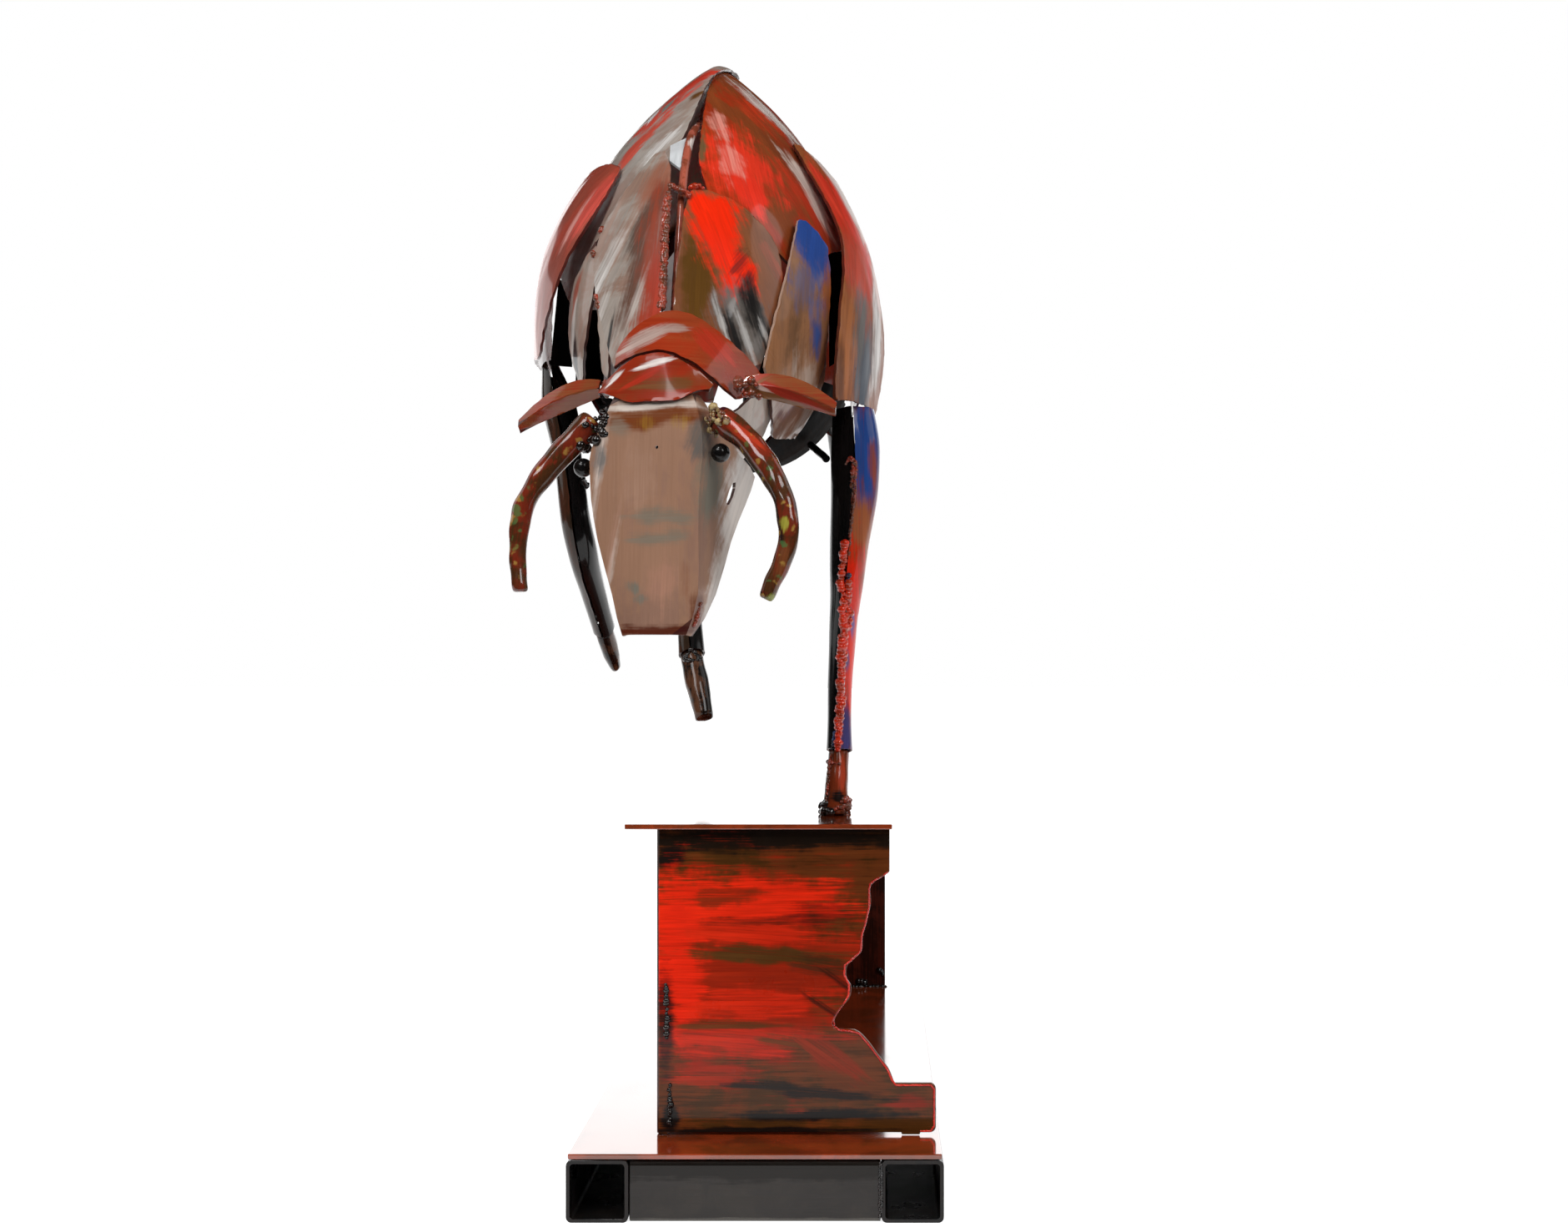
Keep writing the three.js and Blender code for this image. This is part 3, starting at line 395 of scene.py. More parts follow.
# Base plate and pedestal: sheared steel plates welded edge to edge, with the front plate's left edge
# cut by torch. The lacquer is brushed across in bright red, brown and black, and mirrors the studio.
PLATE_BEVEL = 0.3 * MM
TOP_PLATE_EDGE = 54.8 * MM
level_plate = lacquer("brick_lacquer_on_level_plate", ("#A5401C", "#7A3416"), roughness=(0.1, 0.2),
                      stroke=0.06, ground_turn=0, coat=1, shine=1.75)
front_plate = lacquer("red_lacquer_brushed_over_brown_on_plate", ("#4E2E10", "#6A3414"), [
    ("#1D130C", (925, 1003), (220, 17), 0, 1),
    ("#17110E", (802, 1028), (26, 18), 0, 0.8),
    ("#9A240C", (895, 1165), (150, 125), 0, 0.95),
    ("#F02C10", (865, 1085), (150, 36), 0, 0.95),
    ("#5A2A10", (868, 1076), (70, 18), 0, 0.5),
    ("#3A1C0C", (900, 1105), (90, 8), 0, 0.5),
    ("#17100C", (985, 1095), (60, 24), 0, 0.35),
    ("#F02A10", (812, 1150), (34, 110), 0, 0.9),
    ("#D42A10", (910, 1120), (120, 16), -4, 0.7),
    ("#4E3414", (920, 1145), (120, 13), -4, 0.75),
    ("#DA2A10", (905, 1200), (110, 26), 0, 0.6),
    ("#CC2A10", (890, 1245), (110, 32), -4, 0.6),
    ("#AC2A10", (860, 1290), (80, 20), 0, 0.5),
    ("#4E3414", (880, 1228), (90, 8), 0, 0.6),
    ("#4E3414", (965, 1252), (60, 12), -10, 0.6),
    ("#3A2410", (985, 1160), (44, 22), -10, 0.5),
    ("#8E2A10", (1000, 1270), (60, 20), -35, 0.6),
    ("#241008", (1012, 1180), (50, 6), -35, 0.5),
    ("#241008", (1000, 1215), (50, 5), -35, 0.5),
    ("#17110E", (930, 1302), (60, 7), -4, 0.7),
    ("#17110E", (1000, 1312), (80, 8), -4, 0.75),
    ("#8E2410", (1090, 1322), (34, 12), 0, 0.6),
    ("#120C0A", (985, 1336), (110, 8), 0, 0.85),
    ("#17110E", (900, 1355), (170, 5), 0, 0.9),
    ("#14100E", (798, 1230), (14, 90), 0, 0.6),
    ("#14100E", (803, 1340), (12, 22), 0, 0.9),
], ["pedestal_front"], stroke=0.45, roughness=(0.25, 0.4), rim="#B02A1C", ground_turn=0, coat=0.3,
    streak=0.45)
dark_plate = lacquer("dark_red_lacquer_on_plate", ("#2A120C", "#4A1A10"), roughness=(0.15, 0.3),
                     stroke=0.2)
for node, material, slot in [
    ("base_plate", level_plate, "brick_lacquer"),
    ("pedestal_top", level_plate, "brick_lacquer"),
    ("pedestal_front", front_plate, "bright_red_lacquer"),
    ("pedestal_side", dark_plate, "brick_lacquer"),
    ("pedestal_back", dark_plate, "brown_lacquer"),
]:
    mesh = stock(node, PLATE_BEVEL)
    if node == "pedestal_back":  # its free edge is ground back flush with the top plate
        for vertex in mesh.vertices:
            vertex.co.x = min(vertex.co.x, TOP_PLATE_EDGE)
    finished(node + "_lacquered", mesh, node, material)

# Body plates: 0.9 mm sheet, cut by torch, hammered over a form and welded edge over edge. Each one is
# brushed in its own colours.
RIM_ANGLE = math.radians(50)
DENT_WAVE = 14 * MM
DENT_DEPTH = 0.3 * MM
CUT_WAVE = 3.2 * MM
CUT_DEPTH = 0.3 * MM
ON_CUT = 0.97  # corner value rim from which on a corner lies on the cut edge
JOIN_SHAPE = math.radians(70)
DENT_SEED = 1
noise.seed_set(DENT_SEED)


def smoothed(node, levels, crease=1):
    """The CAD node's shape smoothed between its rims, where its corner values rim are 1."""
    shape = merged(node)
    bmesh.ops.join_triangles(shape, faces=shape.faces, angle_face_threshold=SHARP,
                             angle_shape_threshold=JOIN_SHAPE)
    creases = shape.edges.layers.float.new("crease_edge")
    rims = shape.verts.layers.float.new("rim")
    for edge in shape.edges:
        if len(edge.link_faces) != 2 or edge.calc_face_angle(0) > RIM_ANGLE:
            edge[creases] = crease
            for corner in edge.verts:
                corner[rims] = 1
    return modified(as_mesh(shape, node), [("SUBSURF", {"levels": levels, "render_levels": levels})])


def cut_faces(mesh):
    """Turns the corner values rim into a face attribute, 1 on the cut edge. Returns the corner values."""
    rim = np.zeros(len(mesh.vertices))
    mesh.attributes["rim"].data.foreach_get("value", rim)
    on_cut = [float(min(rim[corner] for corner in face.vertices) > ON_CUT) for face in mesh.polygons]
    mesh.attributes.remove(mesh.attributes["rim"])
    mesh.attributes.new("rim", "FLOAT", "FACE").data.foreach_set("value", on_cut)
    return rim


def hammered(node, levels=2, dent=DENT_DEPTH, cut=CUT_DEPTH):
    """A bent sheet: the CAD node's shape smoothed between its rims, with shallow dents and a ragged
    cut edge. Its attribute rim is 1 on the faces of the cut edge."""
    mesh = smoothed(node, levels)
    rim = cut_faces(mesh)
    for vertex, at_rim in zip(mesh.vertices, rim):
        spot = vertex.co.copy()
        vertex.co += noise.noise_vector(spot / DENT_WAVE) * dent
        if at_rim > ON_CUT:
            vertex.co += noise.noise_vector(spot / CUT_WAVE) * cut
    mesh.shade_smooth()
    mesh.set_sharp_from_angle(angle=SHARP)
    return mesh


withers_left = lacquer("brick_lacquer_and_painted_sheen_on_left_withers", ("#AC3818", "#8C4420"), [
    ("#C8361A", (968, 235), (60, 40), 125, 0.7),
    ("#D2401F", (905, 135), (44, 26), 130, 0.6),
    ("#94502A", (893, 106), (30, 12), 130, 0.9),
    ("#EA3A22", (882, 192), (74, 46), 102, 1),
    # the pale pink washes are painted sheen over the red patch
    ("#E8A090", (862, 150), (40, 14), 112, 0.5),
    ("#F4A898", (876, 196), (60, 20), 108, 0.35),
    ("#F03620", (898, 228), (34, 20), 108, 1),
    ("#6E5A3A", (834, 200), (34, 6), 95, 0.7),
    ("#7A3A1E", (950, 200), (60, 14), 125, 0.6),
    ("#8A4A28", (930, 160), (44, 8), 130, 0.5),
    # the pale washes along the top right edge and beside the shoulder are painted highlights
    ("#EADCD4", (932, 126), (80, 14), 132, 0.8, 0.6),
    ("#DCC6BA", (962, 214), (60, 9), 122, 0.9, 0.7),
    ("#DCC6BA", (984, 258), (30, 8), 118, 0.8),
], ["withers_left"], ground_turn=115, ragged=2.2, soft=1.3)
# the right withers: its grey ground is partly a painted sheen below the red upper edge
withers_right = lacquer("grey_lacquer_and_painted_sheen_on_right_withers", ("#B8ADA4", "#A08A7E"), [
    ("#DC5040", (814, 114), (76, 20), 55, 1),
    ("#DC5A48", (770, 168), (54, 13), 57, 1),
    ("#E04430", (842, 92), (34, 12), 48, 1),
    ("#6A4420", (838, 112), (14, 8), 50, 0.9),
    ("#8A9088", (824, 160), (30, 8), 68, 0.8),
    ("#8C7464", (770, 205), (40, 10), 60, 0.5),
    # the near-white washes are painted sheen
    ("#E6E2DE", (790, 176), (54, 11), 60, 0.6),
    ("#E6E2DE", (752, 235), (50, 11), 62, 0.55),
    # the white wash is a painted reflection in the gap by the ridge
    ("#F2F2F2", (817, 182), (22, 7), 80, 1),
], ["withers_right"], ground_turn=57, ragged=2.0)
# the right neck: its grey ground is partly a painted sheen
neck_right = lacquer("tan_lacquer_and_painted_sheen_on_right_neck", ("#AA9E94", "#96796A"), [
    ("#9A6450", (792, 215), (56, 20), 76, 1),
    ("#5C4A40", (776, 262), (60, 12), 66, 0.9),
    ("#64463A", (764, 320), (90, 12), 78, 0.9),
    ("#93422E", (786, 310), (120, 20), 86, 1),
    ("#A83824", (786, 345), (60, 15), 86, 1),
    ("#6E625A", (722, 330), (56, 9), 66, 0.5),
    # a thin black line of painted shade along the gap beside the leaf plates
    ("#0E0C0C", (731, 404), (46, 2), 84, 0.9),
    # the pale washes are painted sheen
    ("#E2DDD8", (728, 318), (76, 11), 64, 0.45),
    ("#D8D0CA", (700, 380), (44, 10), 72, 0.45),
    ("#C8BEB6", (764, 350), (50, 8), 74, 0.4),
], ["neck_right"], ground_turn=68, ragged=1.6, soft=1.5)
neck_left = lacquer("red_lacquer_brushed_over_brown_on_left_neck", ("#8A5232", "#7A4A30"), [
    ("#5E3E14", (834, 335), (70, 20), 90, 1),
    ("#F62C0C", (850, 256), (40, 34), 116, 1),
    ("#F62C0C", (838, 240), (16, 16), 116, 1),
    ("#F62C0C", (870, 305), (66, 24), 110, 1),
    ("#F62C0C", (880, 352), (34, 12), 110, 0.9),
    ("#4A2420", (886, 312), (22, 12), 55, 0.45),
    ("#3A2422", (894, 330), (22, 12), 70, 0.45),
    ("#6A625C", (892, 386), (58, 30), 108, 1),
    ("#181615", (878, 402), (40, 9), 106, 0.8),
    ("#181615", (906, 384), (50, 14), 108, 0.7),
    ("#B4B0AC", (864, 384), (44, 5), 106, 0.7),
    ("#B4B0AC", (892, 402), (40, 5), 108, 0.7),
    ("#B4B0AC", (918, 408), (24, 4), 110, 0.7),
    ("#161414", (897, 352), (34, 12), 100, 0.6),
    ("#A04A30", (925, 310), (40, 7), 115, 0.5),
], ["neck_left"], ground_turn=108, ragged=2.4, soft=1.25)
petal_blue = lacquer("blue_lacquer_on_leaf_plate", ("#A87450", "#8E6448"), [
    ("#2A4E9C", (976, 284), (56, 44), 88, 1),
    ("#2A4E9C", (972, 284), (40, 36), 88, 1),
    ("#5A6490", (970, 345), (40, 26), 88, 0.45),
    ("#3E5694", (978, 402), (20, 13), 88, 0.9),
    ("#B0602E", (994, 345), (36, 8), 88, 0.7),
    ("#6A4A30", (952, 400), (60, 8), 84, 0.6),
    # a painted sheen on the lower part of the leaf
    ("#C8B0A0", (965, 452), (34, 18), 88, 0.7),
# the pale cut edge is a painted highlight on the sheet's thin edge
], ["petal_blue"], ground_turn=88, ragged=2.6, soft=1.7, shine=1.35, coat=0.2, rim="#A88C7C")
petal_tan = lacquer("tan_lacquer_on_leaf_plates", ("#B0A094", "#A8887A"), [
    # a black line of painted shade where the gap between the leaf plates lies
    ("#0E0C0C", (704, 424), (32, 6), 96, 1),
    # a painted highlight on the pale leaf
    ("#E6DDD6", (686, 400), (50, 6), 80, 0.6),
    ("#B05A48", (690, 352), (30, 5), 74, 0.7),
], ["petal_outer_right"], ground_turn=80)
petal_low = lacquer("brown_lacquer_on_low_plate", ("#7B4A2B", "#A08678"), ground_turn=60)
shoulder_left = lacquer("red_lacquer_and_painted_highlights_on_left_shoulder", ("#9A5630", "#86502E"), [
    ("#D63A28", (1008, 250), (84, 24), 112, 1),
    ("#C8442A", (1026, 325), (60, 22), 92, 1),
    ("#565C66", (1034, 440), (60, 12), 84, 1),
    ("#B06A3C", (1014, 400), (80, 10), 86, 0.9),
    ("#6A6460", (1032, 380), (44, 10), 84, 0.8),
    ("#6E3E22", (1006, 450), (50, 6), 88, 0.7),
    # the near-white washes are painted highlights where the plate turns away towards its edges
    ("#EAE4E0", (1052, 400), (90, 8), 88, 1.0, 0.6),
    ("#EED4CC", (1026, 262), (74, 10), 112, 1.0, 0.6),
    ("#EED8D2", (1046, 320), (60, 9), 97, 1.0, 0.7),
    ("#F0E2DC", (1004, 222), (60, 13), 124, 1.0, 0.7),
    ("#D8402C", (988, 226), (60, 4), 118, 1),
    ("#DC3A2C", (1009, 325), (60, 4), 92, 1),
], ["shoulder_left"], ground_turn=88, coat=0, shine=1.12, soft=1.5)
shoulder_right = lacquer("red_lacquer_on_right_shoulder", ("#BA4C38", "#A04A38"), [
    ("#E0584A", (714, 240), (56, 22), 62, 0.9),
    # a painted highlight along the plate's left edge
    ("#E8A298", (690, 262), (50, 6), 66, 0.7),
    ("#9A4A34", (672, 360), (60, 14), 80, 0.7),
], ["shoulder_right"], ground_turn=70, soft=1.4)
collar_red = lacquer("brick_lacquer_on_collar", ("#A4361A", "#963E20"), [
    # the pale tan washes on the left are painted sheen
    ("#B79E94", (775, 404), (36, 14), 25, 0.8),
    ("#A88E84", (806, 394), (26, 8), 0, 0.7),
    ("#8A4A34", (762, 432), (22, 8), 30, 0.7),
    ("#B03420", (855, 412), (30, 18), 130, 0.8),
], ["collar"], roughness=(0.2, 0.34), ground_turn=0, stroke=0.3)
crest_red = lacquer("brick_lacquer_on_crest", ("#A0321A", "#8A3C20"), [
    ("#7A4A28", (800, 460), (34, 10), 0, 0.8),
    ("#B83220", (775, 448), (30, 8), 25, 0.6),
    # the white washes are painted highlights on the crest's top edge
    ("#F0E4DE", (786, 434), (24, 5), 12, 0.8),
    ("#F0E4DE", (738, 452), (14, 4), 40, 0.8),
], ["crest"], roughness=(0.16, 0.3), stroke=0.25, ground_turn=0)
hidden_plates = lacquer("brick_and_brown_lacquer_on_rear_plates", ("#A5331A", "#7B4A2B"))
blue_plate = lacquer("blue_and_brown_lacquer_on_thigh", ("#2F4F8C", "#7B4A2B"), ground_turn=70)
red_plate = lacquer("bright_red_lacquer_on_thigh", ("#D92A14", "#8E2A16"), ground_turn=70)
black_plate = lacquer("matt_black_paint_on_belly", ("#131212", "#1D1613"), roughness=(0.5, 0.7),
                      stroke=0.3, coat=0, shine=1.05)
for node, material, slot, levels in [
    ("back_left", hidden_plates, "brick_lacquer", 2),
    ("back_right", hidden_plates, "brick_lacquer", 2),
    ("flank_left", hidden_plates, "brown_lacquer", 2),
    ("flank_right", hidden_plates, "brown_lacquer", 2),
    ("rump_left", hidden_plates, "brick_lacquer", 2),
    ("rump_right", hidden_plates, "brick_lacquer", 2),
    ("belly", black_plate, "black_lacquer", 2),
    ("thigh_left", blue_plate, "blue_lacquer", 2),
    ("thigh_right", red_plate, "bright_red_lacquer", 2),
    ("withers_left", withers_left, "brick_lacquer", 3),
    ("withers_right", withers_right, "brick_lacquer", 3),
    ("neck_left", neck_left, "bright_red_lacquer", 3),
    ("neck_right", neck_right, "tan_lacquer", 3),
    ("petal_blue", petal_blue, "blue_lacquer", 3),
    ("petal_low", petal_low, "brown_lacquer", 2),
    ("brisket", petal_tan, "tan_lacquer", 2),
    ("petal_outer_right", petal_tan, "tan_lacquer", 2),
    ("petal_inner_right", petal_tan, "tan_lacquer", 2),
    ("shoulder_left", shoulder_left, "brick_lacquer", 3),
    ("shoulder_right", shoulder_right, "bright_red_lacquer", 3),
    ("collar", collar_red, "brick_lacquer", 3),
    ("crest", crest_red, "brick_lacquer", 3),
]:
    finished(node + "_hammered", hammered(node, levels), node, material)

# Inner frame: two pairs of ribs cut from flat bar, which stand upright in the body and carry its plates.
# They are painted matt black, and from the front only their edges show.
matt_black = lacquer("matt_black_paint_on_ribs_and_painted_shade_sheets", ("#0E0E0E", "#161210"), roughness=(0.5, 0.7), stroke=0.2,
                     coat=0, shine=1.05)
for node in ("rib_front_left", "rib_front_right", "rib_rear_left", "rib_rear_right"):
    finished(node + "_bar", hammered(node, 1, 0, 0), node, matt_black)

# Painted shade and reflection: strips of black sheet set behind the gaps between the leaf plates, the
# shoulders and the collar, which stand for the shade that shows through them, and a pale sheet beside
# the ridge rod, which stands for a white reflection. Each is cut from flat sheet.
SHADE_AND_REFLECTION_SHEET = 0.9 * MM
# a near-white material for the sheet that paints the white reflection in the ridge gap
ridge_gap_reflection = lacquer("pale_painted_reflection_in_ridge_gap", ("#E8ECEE", "#D4D6D8"), roughness=(0.1, 0.2),
                   stroke=0.2, coat=1)


def seen_at(pixel, depth):
    """The point at a depth (Y) that the camera sees at a pixel of the photograph."""
    reach = (depth - EYE.y) / PIXELS_PER_SLOPE
    x = EYE.x + (pixel[0] - EYE_PIXEL[0]) * reach
    z = EYE.z + (EYE_PIXEL[1] - pixel[1]) * reach
    return Vector((x, depth, z))


for name, material, slot, corners in [
    # dark sheets of painted shade behind the gaps
    ("painted_shade_sheet_left", matt_black, "black_lacquer",
     [((994, 282), -60), ((1010, 292), -60), ((1013, 428), -60), ((994, 440), -60)]),
    ("painted_shade_sheet_right", matt_black, "black_lacquer",
     [((694, 372), -60), ((722, 372), -60), ((724, 462), -60), ((690, 462), -60)]),
    ("painted_shade_sheet_right_low", matt_black, "black_lacquer",
     [((670, 334), -84), ((686, 346), -84), ((686, 440), -84), ((660, 438), -84)]),
    ("painted_shade_sheet_neck", matt_black, "black_lacquer",
     [((900, 432), -120), ((926, 426), -120), ((926, 458), -120), ((900, 458), -120)]),
    # a pale sheet that stands for the white reflection in the ridge gap
    ("painted_reflection_in_ridge_gap", ridge_gap_reflection, "tan_lacquer",
     [((804, 176), -131), ((829, 164), -126), ((827, 186), -138), ((815, 203), -146), ((803, 194), -141)]),
]:
    mesh = bpy.data.meshes.new(name)
    facing_front = tuple(range(len(corners) - 1, -1, -1))
    mesh.from_pydata([seen_at(pixel, depth * MM) for pixel, depth in corners], [], [facing_front])
    mesh = modified(mesh, [("SOLIDIFY", {"thickness": SHADE_AND_REFLECTION_SHEET, "offset": 0})])
    finished(name, mesh, None, material)

# Face: one plate folded along two lines, its cheeks bent back and flared, with a slit cut in the left
# cheek and a nail hole in the brow. Tan brown lacquer with grey-blue patches, dark at the muzzle, and
# painted highlights along the brow, the left edge and the right cheek.
face_tan = lacquer("tan_lacquer_and_painted_highlights_on_face", ("#A47C64", "#967260"), [
    ("#7A3E1C", (785, 500), (70, 13), 0, 1),
    # a painted highlight along the rolled brow
    ("#E2D4C8", (788, 485), (50, 5), 0, 1),
    ("#B8902E", (770, 506), (16, 20), 90, 0.1),
    ("#B8902E", (818, 504), (12, 14), 90, 0.1),
    ("#867868", (780, 616), (24, 10), 0, 0.9),
    ("#867868", (812, 619), (22, 10), 0, 0.8),
    ("#867868", (778, 645), (20, 10), 0, 0.85),
    ("#867868", (806, 642), (22, 10), 0, 0.8),
    ("#8C7A6A", (742, 510), (16, 14), 0, 0.7),
    # painted highlights along the face's left edge
    ("#CFBBAF", (703, 590), (80, 7), 82, 0.9),
    ("#CFBBAF", (722, 690), (60, 5), 78, 0.8),
    ("#7C766A", (760, 703), (9, 10), 90, 0.8),
    ("#7C766A", (766, 718), (8, 10), 90, 0.7),
    ("#7A7470", (719, 556), (18, 9), 80, 0.8),
    ("#6A625C", (836, 528), (24, 14), 70, 0.85),
    ("#7A7466", (848, 580), (44, 16), 85, 0.8),
    ("#B08A74", (760, 575), (44, 30), 90, 0.4),
    ("#B88E7A", (733, 650), (80, 7), 80, 0.35),
    ("#B4846E", (792, 706), (44, 22), 88, 0.6),
    ("#8A5A44", (822, 706), (40, 9), 90, 0.3),
    ("#5A2616", (790, 755), (70, 7), 0, 1),
    ("#6A3A28", (836, 738), (24, 8), 90, 0.9),
    # the near-white washes are painted sheen on the right cheek
    ("#DCD4CE", (886, 585), (56, 18), 72, 1),
    ("#E8DED6", (896, 620), (70, 12), 76, 1),
    ("#E8DED6", (872, 700), (56, 10), 78, 0.9),
    ("#D8CCC4", (852, 730), (24, 5), 70, 0.8),
], ["face"], roughness=(0.3, 0.45), stroke=0.3, streak=0.16, ragged=2.6, soft=1.7)
RIM_SHARE = 0.3  # a face of the cut edge has at least this share of its outline along sharp edges
FOLD_ANGLE = math.radians(22)
shape = merged("face")
sharp = {edge for edge in shape.edges if edge.calc_face_angle(0) > RIM_ANGLE}
corners = {corner for edge in sharp for corner in edge.verts}
on_cut = []
for face in shape.faces:
    sharp_length = sum(edge.calc_length() for edge in face.edges if edge in sharp)
    along_rims = sharp_length > RIM_SHARE * face.calc_perimeter()
    on_cut.append(float(along_rims and corners.issuperset(face.verts)))
mesh = as_mesh(shape, "face")
mesh.attributes.new("rim", "FLOAT", "FACE").data.foreach_set("value", on_cut)
mesh.shade_smooth()
mesh.set_sharp_from_angle(angle=FOLD_ANGLE)
finished("face_folded", mesh, "face", face_tan)

# Horns, ears, eyes, tail and rods: the horns are round bar bent hot, with the torch's colours, the ears
# are leaves of sheet with a fold along the middle, and the eyes are steel balls. All are welded on.
horn_material = lacquer("torch_coloured_lacquer_on_horns", ("#802E1C", "#4E2E18"), [
    ("#241812", (690, 527), (30, 8), 30, 0.9),
    ("#3A1220", (655, 522), (60, 4), 41, 0.8),
    ("#3A1220", (608, 625), (60, 4), 85, 0.8),
    ("#33241A", (640, 620), (60, 6), 75, 0.9),
    ("#6A6E2E", (617, 630), (16, 6), 80, 0.8),
    ("#6A5A24", (650, 562), (22, 6), 60, 0.7),
    # a painted glint on the right horn
    ("#EFE4DA", (612, 690), (22, 3), 92, 1),
    ("#1C1614", (620, 712), (14, 14), 90, 1),
    ("#B43A22", (885, 515), (44, 7), 140, 0.9),
    ("#33241A", (895, 562), (50, 6), 125, 0.8),
    ("#2A1A16", (922, 620), (40, 5), 100, 0.9),
    ("#A8A040", (940, 628), (9, 6), 80, 0.9),
    ("#3A1220", (955, 600), (60, 3), 100, 0.8),
    ("#7A4426", (938, 670), (30, 8), 75, 0.7),
    ("#9AA04A", (924, 718), (10, 5), 60, 0.9),
], ["horn_left", "horn_right"], roughness=(0.16, 0.3), stroke=0.5, rim="#2A1018", speck=0.7,
    ground_turn=80, coat=0.8, patch=12 * MM, ragged=1.8)
ear_material = lacquer("brick_lacquer_on_ears", ("#9C3A24", "#8A4A2A"), [
    ("#8A5A34", (940, 492), (40, 8), -22, 0.9),
    ("#A83424", (948, 474), (50, 6), -24, 0.9),
    # a painted highlight along the ear's fold
    ("#E8C8BC", (915, 466), (16, 3), -20, 0.8),
    ("#8A5A3A", (668, 508), (40, 7), 28, 0.8),
    ("#B0402E", (672, 490), (50, 6), 28, 0.8),
], ["ear_left", "ear_right"], roughness=(0.16, 0.3), stroke=0.3, ground_turn=0, coat=0.8)
ear_weld = lacquer("brick_lacquer_on_ear_welds", ("#9C3A24", "#7A4A3A"), roughness=(0.16, 0.3),
                   stroke=0.3)
BAR_EDGE = math.radians(50)


def forged(node, dent, wave, crease=0.7):
    """A bent bar: the CAD node's shape smoothed, with the slight waves that heating and bending leave."""
    mesh = smoothed(node, 2, crease)
    mesh.attributes.remove(mesh.attributes["rim"])
    for vertex in mesh.vertices:
        vertex.co += noise.noise_vector(vertex.co / wave) * dent
    mesh.shade_smooth()
    mesh.set_sharp_from_angle(angle=BAR_EDGE)
    return mesh


for node in ("horn_left", "horn_right"):
    finished(node + "_forged", forged(node, 0.5 * MM, 6 * MM, 0), node, horn_material)
EAR_DENT = 0.15 * MM
for node in ("ear_left", "ear_right"):
    finished(node + "_folded", hammered(node, 3, EAR_DENT, EAR_DENT), node, ear_material)
for node in ("ear_weld_left", "ear_weld_right"):
    finished(node + "_lump", forged(node, 0.6 * MM, 1.6 * MM), node, ear_weld)
for node in ("eye_left", "eye_right"):
    finished(node + "_ball", forged(node, 0.02 * MM, 2 * MM), node, black_tube)
ridge_rod = lacquer("brick_lacquer_on_ridge_rod", ("#B8604C", "#84402A"), [
    # the near-white washes are painted highlights on the rod
    ("#EADCD4", (831, 172), (16, 5), 97, 1),
    ("#EADCD4", (826, 205), (12, 4), 97, 0.8),
], ["spine_rod"], roughness=(0.2, 0.35), stroke=0.2, patch=6 * MM)
inside_black = lacquer("black_lacquer_on_inner_frame", ("#101010", "#1A1512"), roughness=(0.25, 0.4),
                       stroke=0.2)
for node, material in [
    ("tail", inside_black),
    ("spine_rod", ridge_rod),
    ("strut_fore_left", inside_black),
]:
    finished(node + "_bent", forged(node, 0.15 * MM, 5 * MM), node, material)

# Legs: two half shells of bent sheet, welded to each other along the front and the back, with a hoof
# segment welded on below. The standing leg is brushed in blue, brown and bright red, the others in brown.
leg_outer = lacquer("blue_and_red_lacquer_on_standing_leg", ("#A53A1E", "#8A4020"), [
    ("#264A92", (1036, 530), (66, 24), 90, 1),
    ("#35508E", (1034, 612), (34, 8), 90, 0.7),
    ("#9A4A34", (1046, 552), (30, 6), 90, 0.7),
    ("#A8603C", (1034, 630), (36, 14), 90, 0.9),
    ("#F02A10", (1022, 765), (105, 20), 90, 1),
    ("#F02A10", (1018, 765), (100, 14), 90, 1),
    ("#5A5AA0", (1020, 745), (16, 5), 90, 0.7),
    ("#4A4E80", (1014, 790), (14, 5), 90, 0.7),
    ("#4A4478", (1012, 880), (34, 14), 90, 0.9),
    # the near-white washes are a painted highlight down the leg's right edge
    ("#EFE6E0", (1046, 640), (80, 3), 86, 0.8, 0.2),
    ("#EFE6E0", (1030, 740), (80, 3), 88, 0.7, 0.2),
], ["fore_left_outer"], soft=1.3)
leg_inner = lacquer("black_lacquer_on_inner_shells", ("#141414", "#1C1818"), roughness=(0.12, 0.3),
                    stroke=0.3)
brown_leg = lacquer("brown_lacquer_on_legs", ("#33261C", "#4A2A1C"), roughness=(0.16, 0.32), stroke=0.35)
hoof_material = lacquer("brown_lacquer_on_hooves", ("#8A3A1E", "#4A2818"), [
    ("#12100F", (989, 940), (44, 6), 88, 1),
    ("#B8452A", (1008, 925), (22, 6), 88, 0.8),
    ("#1C1614", (1006, 956), (10, 8), 0, 0.8),
], ["fore_left_hoof"], roughness=(0.2, 0.34), stroke=0.4)
dark_hoof = lacquer("brown_and_black_lacquer_on_raised_hooves", ("#17110E", "#5A3A28"),
                    roughness=(0.2, 0.34), stroke=0.5, patch=9 * MM)
for name, outer, slot, hoof in [
    ("fore_left", leg_outer, "blue_lacquer", hoof_material),
    ("fore_right", brown_leg, "brick_lacquer", dark_hoof),
    ("hind_left", brown_leg, "brown_lacquer", dark_hoof),
    ("hind_right", brown_leg, "black_lacquer", dark_hoof),
]:
    finished(name + "_outer_shell", hammered(name + "_outer"), name + "_outer", outer)
    finished(name + "_inner_shell", hammered(name + "_inner"), name + "_inner", leg_inner)
    finished(name + "_hoof_forged", forged(name + "_hoof", 0.3 * MM, 5 * MM), name + "_hoof", hoof)


# Welds: lumpy beads of electrode steel along the seams, lacquered over in the colours about them, and
# bare drops where plates are tacked.
SIZE_SPREAD = 0.6
MELT_WAVES = 0.9  # waves of the noise in a bead's radius
TURNS = (6.28, 6.28, 6.28)


